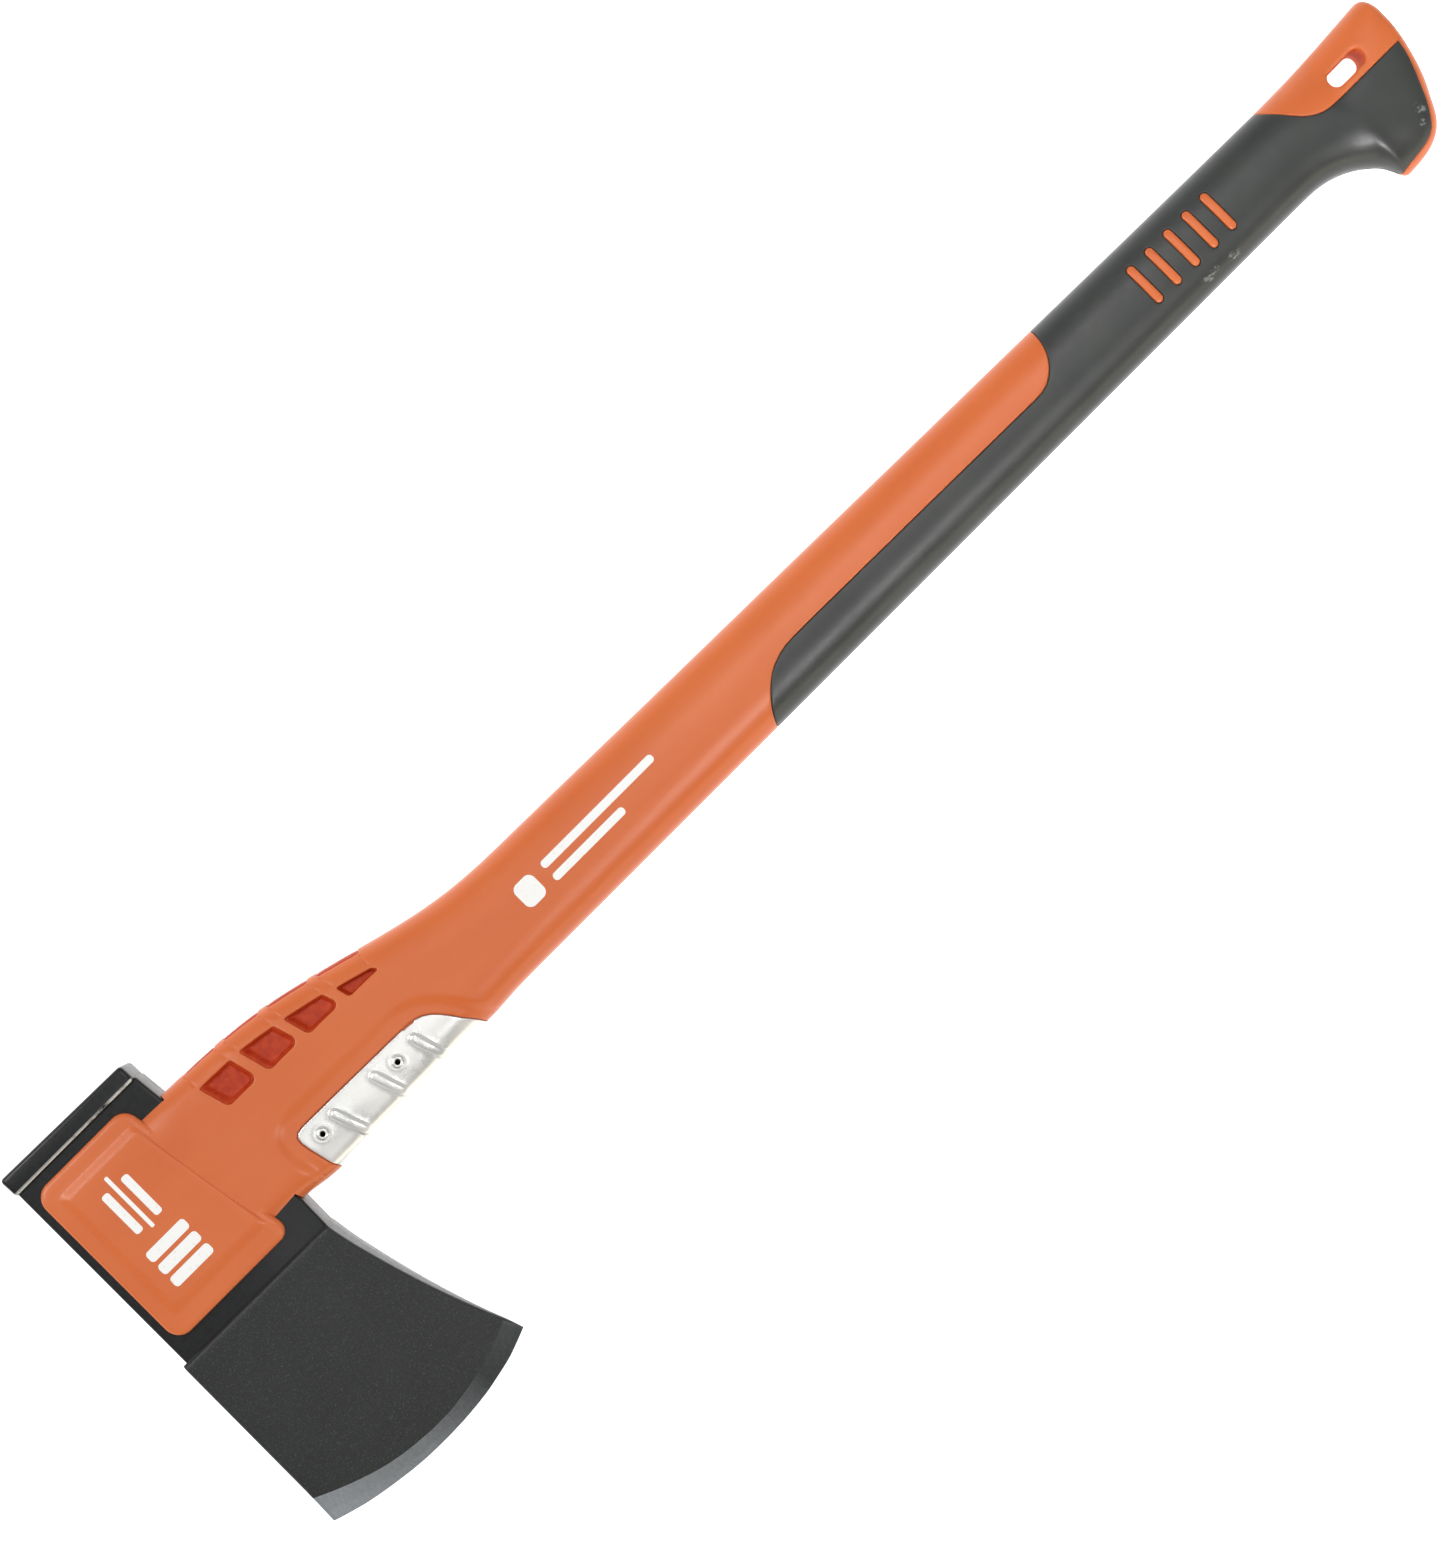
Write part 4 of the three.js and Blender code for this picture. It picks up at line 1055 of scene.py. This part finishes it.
def prism_obm(name, poly, z0, z1, mat=None):
    ob = prism_ob(name, poly, z0, z1)
    if mat:
        ob.data.materials.append(mat)
    return ob


def eye_tool(d, x0, x1):
    pts = arcs([(17 - d, -7.5 - d), (71 + d, -7.5 - d), (71 + d, 7.5 + d), (17 - d, 7.5 + d)], 7.0 + d * 0.9, 1.0)
    rings = [np.column_stack([np.full(len(pts), x), pts]) for x in (x0, x1)]
    return loft_ob("eye_tool", rings)


def make_head():
    body = prism_obm("body", BODY_PLAN, -BODY_T, BODY_T, M["forging"])
    bevelled(body, 1.3, 4)
    px0, px1 = -346.2, -281.8
    f = lambda x: 96.3 + (x - px0) * -0.0177
    poll = prism_obm("poll", [(px0 + 0.4, 87.2), (px1 + 0.2, 87.2), (px1, f(px1)), (px0, f(px0))], -POLL_T, POLL_T, M["forging"])
    bevelled(poll, 1.7, 5)
    blade = make_blade()
    boolean(body, poll, "UNION")
    boolean(body, blade, "UNION")
    boolean(body, eye_tool(0, -360, -255), "DIFFERENCE")
    body.name = "axe_head"
    finish_mesh(body, 32)
    me = body.data
    me.materials.clear()
    for key in ("forging", "blade", "bevel"):
        me.materials.append(M[key])
    g = pchip(GRIND_LINE)
    for p in me.polygons:
        c, nz = p.center, abs(p.normal.z)
        x, y = c.x / MM - CX, c.y / MM
        p.material_index = 2 if y < float(g(x)) - 0.02 else 1 if nz > 0.72 and y < -5.6 else 0
    return body


# ------------------------------------------------------------------ pieces in the handle
def handle_solid(name, x0, x1, depth, rows=28, step=6.0, mat=None):
    xs = np.concatenate([np.arange(x0, x1 - step * 0.4, step), [x1]])
    s = np.linspace(0, 1, rows + 1)
    rings = []
    for x in xs:
        d = depth(x) if callable(depth) else depth
        p = H.point(np.full(rows + 1, x), s, np.full(rows + 1, d))
        p[:, 0] = x
        rings.append(np.vstack([p, (p * np.array([1, 1, -1]))[1:-1][::-1]]))
    return loft_ob(name, rings, mat)


def core_depth(extra):
    return lambda x: WALL + (5.3 - WALL) * float(smooth(-70, -20, x)) + extra


def make_core():
    core = handle_solid("fibre_core", -266.2, 298, core_depth(0.3), mat=M["red"])
    boolean(core, eye_tool(-0.3, -344.4, -262), "UNION")
    core.data.materials.clear()
    core.data.materials.append(M["red"])
    # pockets under the side windows: the walls slope in to a smaller floor, most at the head end
    parts_v, parts_f, n = [], [], 0
    wall = np.array([0.5, 1.7, 1.5, 2.8])
    for w, radii, big in zip(WINDOWS, WINDOW_R, (1.0, 1.0, 0.85, 0.4)):
        xs = np.arange(min(p[0] for p in w) - 2, max(p[0] for p in w) + 2.01, 1.2)
        pl = Plane(float(xs[0]), float(xs[-1]), rows=70, xs=xs)
        first = None
        for t, dep in ((0.0, 0.85), (0.03, 0.64), (0.10, 0.6), (0.2, 0.72), (0.36, 1.15), (0.56, 1.8), (0.76, 2.45), (0.9, 2.85), (1.0, 3.05), (1.12, 3.18), (1.28, 3.25)):
            cs = inset_sides(w, 0.06 + wall * t * big)
            q = to_plane(arcs(cs, [max(r - 0.9 * t * big, 0.5) for r in radii], 0.3))
            q = densify(q, 0.8, True)
            if area2(q) < 0:
                q = q[::-1]
            if first is None:
                first = q
            pl.rings.append((q, True, dep))
            pl.cores.append((q, True, 0.5, 0.5))
        V, D, T = pl.build(lambda P, c=first: np.where(inside(P, c), 3.28, 0.0), keep=lambda C, c=first: inside(C, c))
        v, f = thick_patch(V, D, T, 4.9)
        parts_v.append(v)
        parts_f += [[i + n for i in q] for q in f]
        n += len(v)
    pockets = new_object("pockets", np.vstack(parts_v), parts_f, M["red"], 40)
    boolean(core, pockets, "UNION")
    for x0, x1 in SPINE_WINDOWS:
        xs = np.arange(x0 - 1, x1 + 1.01, 0.9)
        hs = 8.6
        q = [(x0 + 0.1, -0.5), (x0 + 0.1, 0.4), (x0 + 0.1, hs - 1.7)] + [(x0 + 0.1 + 1.5 - 1.5 * math.cos(t), hs - 1.7 + 1.5 * math.sin(t)) for t in np.linspace(0.2, math.pi / 2, 6)] \
            + [(x1 - 0.1 - 1.5 + 1.5 * math.sin(t), hs - 1.7 + 1.5 * math.cos(t)) for t in np.linspace(0, math.pi / 2 - 0.2, 6)] + [(x1 - 0.1, hs - 1.7), (x1 - 0.1, 0.4), (x1 - 0.1, -0.5)]
        q = densify(q[::-1], 0.7)
        pl = Plane(float(xs[0]), float(xs[-1]), rows=70, xs=xs)
        pl.curve(q, False, [(0.0, 1.5), (-0.2, 1.0), (-0.45, 0.6), (-0.8, 0.4), (-1.2, 0.33)], clear=0.4)
        reg = np.vstack([trim_open(q), ])
        V, D, T = pl.build(lambda P: np.full(len(P), 0.3), keep=lambda C, r=reg: inside(C, r))
        v, f = thick_patch(V, D, T, 4.4)
        boss = new_object("boss", v, f, M["red"], 40)
        boolean(core, boss, "UNION")
    finish_mesh(core, 38)
    return core


def make_grip():
    pl = Plane(-13.0, 350.0, rows=46, step=3.0)
    g1, g2 = offset(G1, -0.18, False), offset(G2, -0.18, False)
    edge = [(0.0, 0.42), (-0.09, 0.2), (-0.26, 0.07), (-0.55, 0.012), (-1.0, 0.0)]
    pl.curve(g1, False, edge)
    pl.curve(g2, False, edge)
    holes = [offset(b if area2(b) > 0 else b[::-1], 0.2, True) for b in BAR_P]
    for h in holes:
        pl.curve(h, True, [(0.7, 0.0), (0.4, 0.01), (0.16, 0.06), (0.04, 0.18), (0.0, 0.4)], clear=0.5)
    a, b = trim_open(g1), trim_open(g2)
    reg = np.vstack([a, [[a[-1, 0], -30], [b[0, 0], -30]], b, [[b[-1, 0], 200], [a[0, 0], 200]]])

    def keep(C):
        k = inside(C, reg)
        for h in holes:
            k &= ~inside(C, h)
        return k
    V, D, T = pl.build(lambda P: np.zeros(len(P)), keep=keep)
    v, f = thick_patch(V, D, T, GRIP_SKIN)
    return new_object("soft_grip", v, f, M["black"], 38)


def make_guard():
    xs = np.arange(-258, -162.9, 1.2)
    pl = Plane(float(xs[0]), float(xs[-1]), rows=64, xs=xs)
    g = offset(G3, -0.5, False)
    for x0, x1 in ((-236.6, -231.6), (-215.9, -211.0), (-195.2, -189.6)):      # shallow notches over the ribs
        k = smooth(x0 - 0.3, x0 + 0.3, g[:, 0]) * (1 - smooth(x1 - 0.3, x1 + 0.3, g[:, 0])) * (g[:, 1] < H.length(g[:, 0]) * 0.62)
        g[:, 1] += 0.5 * k
    base = lambda P: valley(P) - 0.08 * (1 - front_fade(P))
    add = lambda k: (lambda P: base(P) + k)
    pl.curve(g, False, [(0.0, add(0.34)), (-0.08, add(0.14)), (-0.22, add(0.03)), (-0.5, add(0.0))], clear=0.6)
    ribs = [to_plane(stadium(*r, 4.4)) for r in RIBS]
    for r in ribs:
        pl.curve(r, True, [(0.75, add(0.0)), (0.45, add(-0.05)), (0.15, add(-0.2)), (-0.15, add(-0.44)), (-0.5, add(-0.7)), (-0.95, add(-0.9)), (-1.5, add(-1.0))], clear=0.5)
    holes = []
    for x, y in RIVETS:
        c = to_plane([(x + 1.85 * math.cos(t), y + 1.85 * math.sin(t)) for t in np.linspace(0, 2 * math.pi, 25)[:-1]])
        c = c if area2(c) > 0 else c[::-1]
        holes.append(c)
        pl.curve(c, True, [(2.6, add(0.0)), (2.0, add(-0.05)), (1.5, add(-0.12)), (1.0, add(0.0)), (0.5, add(0.06)), (0.15, add(0.1)), (0.0, add(0.25))], clear=0.5)
    a = trim_open(g)
    reg = np.vstack([a, [[a[-1, 0], 200], [a[0, 0], 200]]])

    def keep(C):
        k = inside(C, reg)
        for h in holes:
            k &= ~inside(C, h)
        return k

    def depth_of(P):
        d = base(P)
        for r in ribs:
            d = np.where(inside(P, r), base(P) - 1.02, d)
        return d
    V, D, T = pl.build(depth_of, keep=keep)
    v, f = thick_patch(V, D, T, base(V) + PLATE_T)
    return new_object("sheet_guard", v, f, M["zinc"], 38)


def make_rivet(name, x, y):
    """Tubular rivet: rolled flanges on both sides of a thin tube."""
    s = float(H.s_of(x, y)[0])
    P0 = np.array([[x, s * float(H.length(x))]])
    z = float(H.point(np.array([x]), np.array([s]), valley(P0))[0, 2])
    prof = [(1.05, z - 3.0), (1.05, z + 0.1), (1.12, z + 0.33), (1.3, z + 0.46), (1.6, z + 0.5), (2.0, z + 0.44), (2.35, z + 0.28), (2.6, z + 0.1), (2.68, z + 0.0),
            (2.6, z - 0.04), (1.75, z - 0.04), (1.75, z - 3.0)]
    full = [(1.05, -z)] + []
    up = prof[1:-1]
    dn = [(r, -q) for r, q in up][::-1]
    loop = up + dn
    N = 40
    rings = []
    v, f = [], []
    for k in range(N):
        w = 2 * math.pi * k / N
        v += [(x + r * math.cos(w), y + r * math.sin(w), q) for r, q in loop]
    m = len(loop)
    for k in range(N):
        for i in range(m):
            a, b = k * m + i, k * m + (i + 1) % m
            c, d = ((k + 1) % N) * m + (i + 1) % m, ((k + 1) % N) * m + i
            f.append([a, b, c, d])
    ob = new_object(name, v, f, M["rivet"], 50)
    # the faces inside the tube take the near-black material: painted shade in the bore
    ob.data.materials.append(M["bore"])
    for p in ob.data.polygons:
        c = p.center
        if math.hypot(c.x / MM - CX - x, c.y / MM - y) < 1.1:
            p.material_index = 1
    return ob


# ------------------------------------------------------------------ plain printed marks
def flat_mark(name, polys, z0, z1):
    V, F, n = [], [], 0
    for poly in polys:
        p = np.array(poly)
        if area2(p) < 0:
            p = p[::-1]
        m = len(p)
        for sg in (1, -1):
            zz = (z0, z1) if sg > 0 else (-z1, -z0)
            V += [(a, b, zz[0]) for a, b in p] + [(a, b, zz[1]) for a, b in p]
            F += [[n + i for i in range(m)][::-1], [n + m + i for i in range(m)]] + [[n + i, n + (i + 1) % m, n + m + (i + 1) % m, n + m + i] for i in range(m)]
            n += 2 * m
    return new_object(name, V, F, M["print"], 30)


def shaft_mark(name, polys):
    V, F, n = [], [], 0
    for poly in polys:
        p = to_plane(densify(poly, 1.0, True))
        xs = np.arange(p[:, 0].min() - 1.5, p[:, 0].max() + 1.51, 1.5)
        pl = Plane(float(xs[0]), float(xs[-1]), rows=50, xs=xs)
        pl.curve(p, True, [(0.0, -0.03)], clear=0.5)
        c = p if area2(p) > 0 else p[::-1]
        v, d, t = pl.build(lambda P: np.full(len(P), -0.03), keep=lambda C: inside(C, c))
        a, b = thick_patch(v, d, t, 0.03)
        V.append(a)
        F += [[i + n for i in q] for q in b]
        n += len(a)
    return new_object(name, np.vstack(V), F, M["print"], 30)


def rrect(x0, y0, x1, y1, r):
    return arcs([(x0, y0), (x1, y0), (x1, y1), (x0, y1)], r, 0.3)


# ------------------------------------------------------------------ build
head = make_head()
shell = make_shell()
pads = [make_pad(1), make_pad(-1)]
for p in pads:
    boolean(shell, p, "UNION")
grown = offset(np.array(BODY_PLAN, float)[::-1] if area2(np.array(BODY_PLAN, float)) < 0 else np.array(BODY_PLAN, float), 0.3, True)
boolean(shell, prism_ob("head_room", grown, -BODY_T - 0.3, BODY_T + 0.3), "DIFFERENCE")
room = handle_solid("core_room", -266.5, 298.3, core_depth(0.0))
boolean(room, eye_tool(0.0, -344.5, -262), "UNION")
boolean(shell, room, "DIFFERENCE")
shell.data.materials.clear()
shell.data.materials.append(M["orange"])
shell.data.materials.append(M["orange_slot_painted_light"])
finish_mesh(shell, 38)
# the hanging slot's wall takes the lighter orange copy: painted light inside the slot
for p in shell.data.polygons:
    c = p.center
    p.material_index = int(abs(c.x / MM - CX - SLOT["x"]) < SLOT["lx"] / 2 + 0.3 and abs(c.y / MM - SLOT["y"]) < SLOT["ly"] / 2 + 0.3
                           and abs(p.normal.z) < 0.4)
shell.name = "orange_moulding"
core = make_core()
for x, y in RIVETS:
    hole = [(x + 1.5 * math.cos(t), y + 1.5 * math.sin(t)) for t in np.linspace(0, 2 * math.pi, 25)[:-1]]
    boolean(shell, prism_ob("bore", hole, -20, 20), "DIFFERENCE")
    boolean(core, prism_ob("bore", hole, -20, 20), "DIFFERENCE")
finish_mesh(shell, 38)
finish_mesh(core, 38)
grip = make_grip()
guard = make_guard()
rivets = [make_rivet(f"tube_rivet_{i + 1}", x, y) for i, (x, y) in enumerate(RIVETS)]
pad_mark = flat_mark("pad_print", [rrect(-316.6, 42.0, -314.9, 68.5, 0.6), rrect(-326.0, 18.8, -305.6, 23.6, 1.6), rrect(-326.0, 25.4, -305.6, 30.2, 1.6),
                                   rrect(-326.0, 32.0, -305.6, 36.8, 1.6), rrect(-312.2, 44, -308.6, 64, 1.2), rrect(-322.6, 44, -319.0, 64, 1.2)], 15.47, 15.53)
mark = shaft_mark("shaft_print", [rrect(-127.5, 25.5, -117.5, 36.5, 3.0), rrect(-112.5, 32.6, -52.5, 36.0, 1.6), rrect(-112.5, 26.0, -74.5, 29.4, 1.6)])

for ob, node, sl in ((head, "head", "head_black"), (core, "core", "core_red"), (shell, "shell", "shell_orange"),
                     (guard, "guard_plate", "sheet_zinc"), (rivets[0], "guard_rivet_1", "sheet_zinc"),
                     (rivets[1], "guard_rivet_2", "sheet_zinc"), (grip, "grip", "grip_black")):
    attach(ob, "root")
    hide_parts(node)
for ob in (pad_mark, mark):
    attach(ob, "root")

# ------------------------------------------------------------------ stage, light, camera
fl = bpy.data.meshes.new("floor")
fl.from_pydata([(-6, -6, -0.0003), (6, -6, -0.0003), (6, 6, -0.0003), (-6, 6, -0.0003)], [], [(0, 1, 2, 3)])
floor = bpy.data.objects.new("floor", fl)
fl.materials.append(M["floor"])
bpy.context.scene.collection.objects.link(floor)

world = bpy.data.worlds.new("studio")
world.use_nodes = True
wt = world.node_tree
wc = wt.nodes.new("ShaderNodeTexCoord")
ws = wt.nodes.new("ShaderNodeSeparateXYZ")
wt.links.new(wc.outputs["Generated"], ws.inputs[0])
wm = wt.nodes.new("ShaderNodeMapRange")
wm.inputs[1].default_value, wm.inputs[2].default_value = -1, 1
wt.links.new(ws.outputs[2], wm.inputs[0])
wr = wt.nodes.new("ShaderNodeValToRGB")
for pos, val in ((0.5, 1.15), (0.62, 1.0), (0.8, 0.42)):
    wr.color_ramp.elements.new(pos)
for e, (pos, val) in zip(wr.color_ramp.elements, ((0.0, 1.0), (0.5, 1.1), (0.66, 0.60), (0.84, 0.26), (0.985, 0.62))):
    e.position, e.color = pos, (val, val, val, 1)
wt.links.new(wm.outputs[0], wr.inputs[0])
wy = wt.nodes.new("ShaderNodeMapRange")
wy.inputs[1].default_value, wy.inputs[2].default_value, wy.inputs[3].default_value, wy.inputs[4].default_value = -1, 1, 0.8, 1.2
wt.links.new(ws.outputs[1], wy.inputs[0])
wt.links.new(wr.outputs[0], wt.nodes["Background"].inputs[0])
wt.links.new(wy.outputs[0], wt.nodes["Background"].inputs[1])
bpy.context.scene.world = world


def area_light(name, loc, target, size, power, color=(1.0, 1.0, 1.0), spread=180):
    li = bpy.data.lights.new(name, "AREA")
    li.spread = math.radians(spread)
    li.shape, li.size, li.size_y, li.energy = "RECTANGLE", size[0], size[1], power
    li.color = color
    ob = bpy.data.objects.new(name, li)
    ob.location = loc
    ob.rotation_euler = (Vector(target) - Vector(loc)).to_track_quat("-Z", "Y").to_euler()
    bpy.context.scene.collection.objects.link(ob)
    return ob


area_light("key", (-0.85, 0.85, 1.25), (0, 0, 0), (0.7, 0.7), 8.5)
area_light("overhead", (0.24, 0.28, 1.6), (0.24, 0.28, 0), (0.75, 0.42), 2.7)
area_light("overhead_head", (-0.35, -0.2, 1.6), (-0.35, -0.2, 0), (0.22, 0.42), 0.5)
area_light("side_light", (0.1, -0.78, 1.6), (0.2, 0, 0), (0.3, 0.3), 3)
area_light("butt_light", (-0.12, -0.78, 1.35), (0.314, -0.005, 0.02), (0.36, 0.36), 0.26, spread=30)
area_light("low_fill", (0.1, -1.4, 0.5), (0, 0, 0), (2.2, 0.5), 5.5, (1.0, 0.88, 0.66))

cam = bpy.data.cameras.new("camera")
cam.sensor_width, cam.sensor_fit = 36, "AUTO"
D = 1.5
cam.lens = 36 * D / (1558 * 0.3883e-3)
cam.clip_start, cam.clip_end = 0.05, 50
co = bpy.data.objects.new("camera", cam)
k = math.sqrt(0.5)
right, up, back = Vector((k, -k, 0)), Vector((k, k, 0)), Vector((0, 0, 1))
R = Matrix((right, up, back)).transposed()
co.matrix_world = Matrix.Translation(Vector(((-40.3 + CX) * MM, 9.7 * MM, CZ * MM + D))) @ R.to_4x4()
bpy.context.scene.collection.objects.link(co)
bpy.context.scene.camera = co

sc = bpy.context.scene
sc.view_settings.view_transform = "Standard"
sc.view_settings.look = "None"
sc.view_settings.exposure = 0
sc.view_settings.gamma = 1
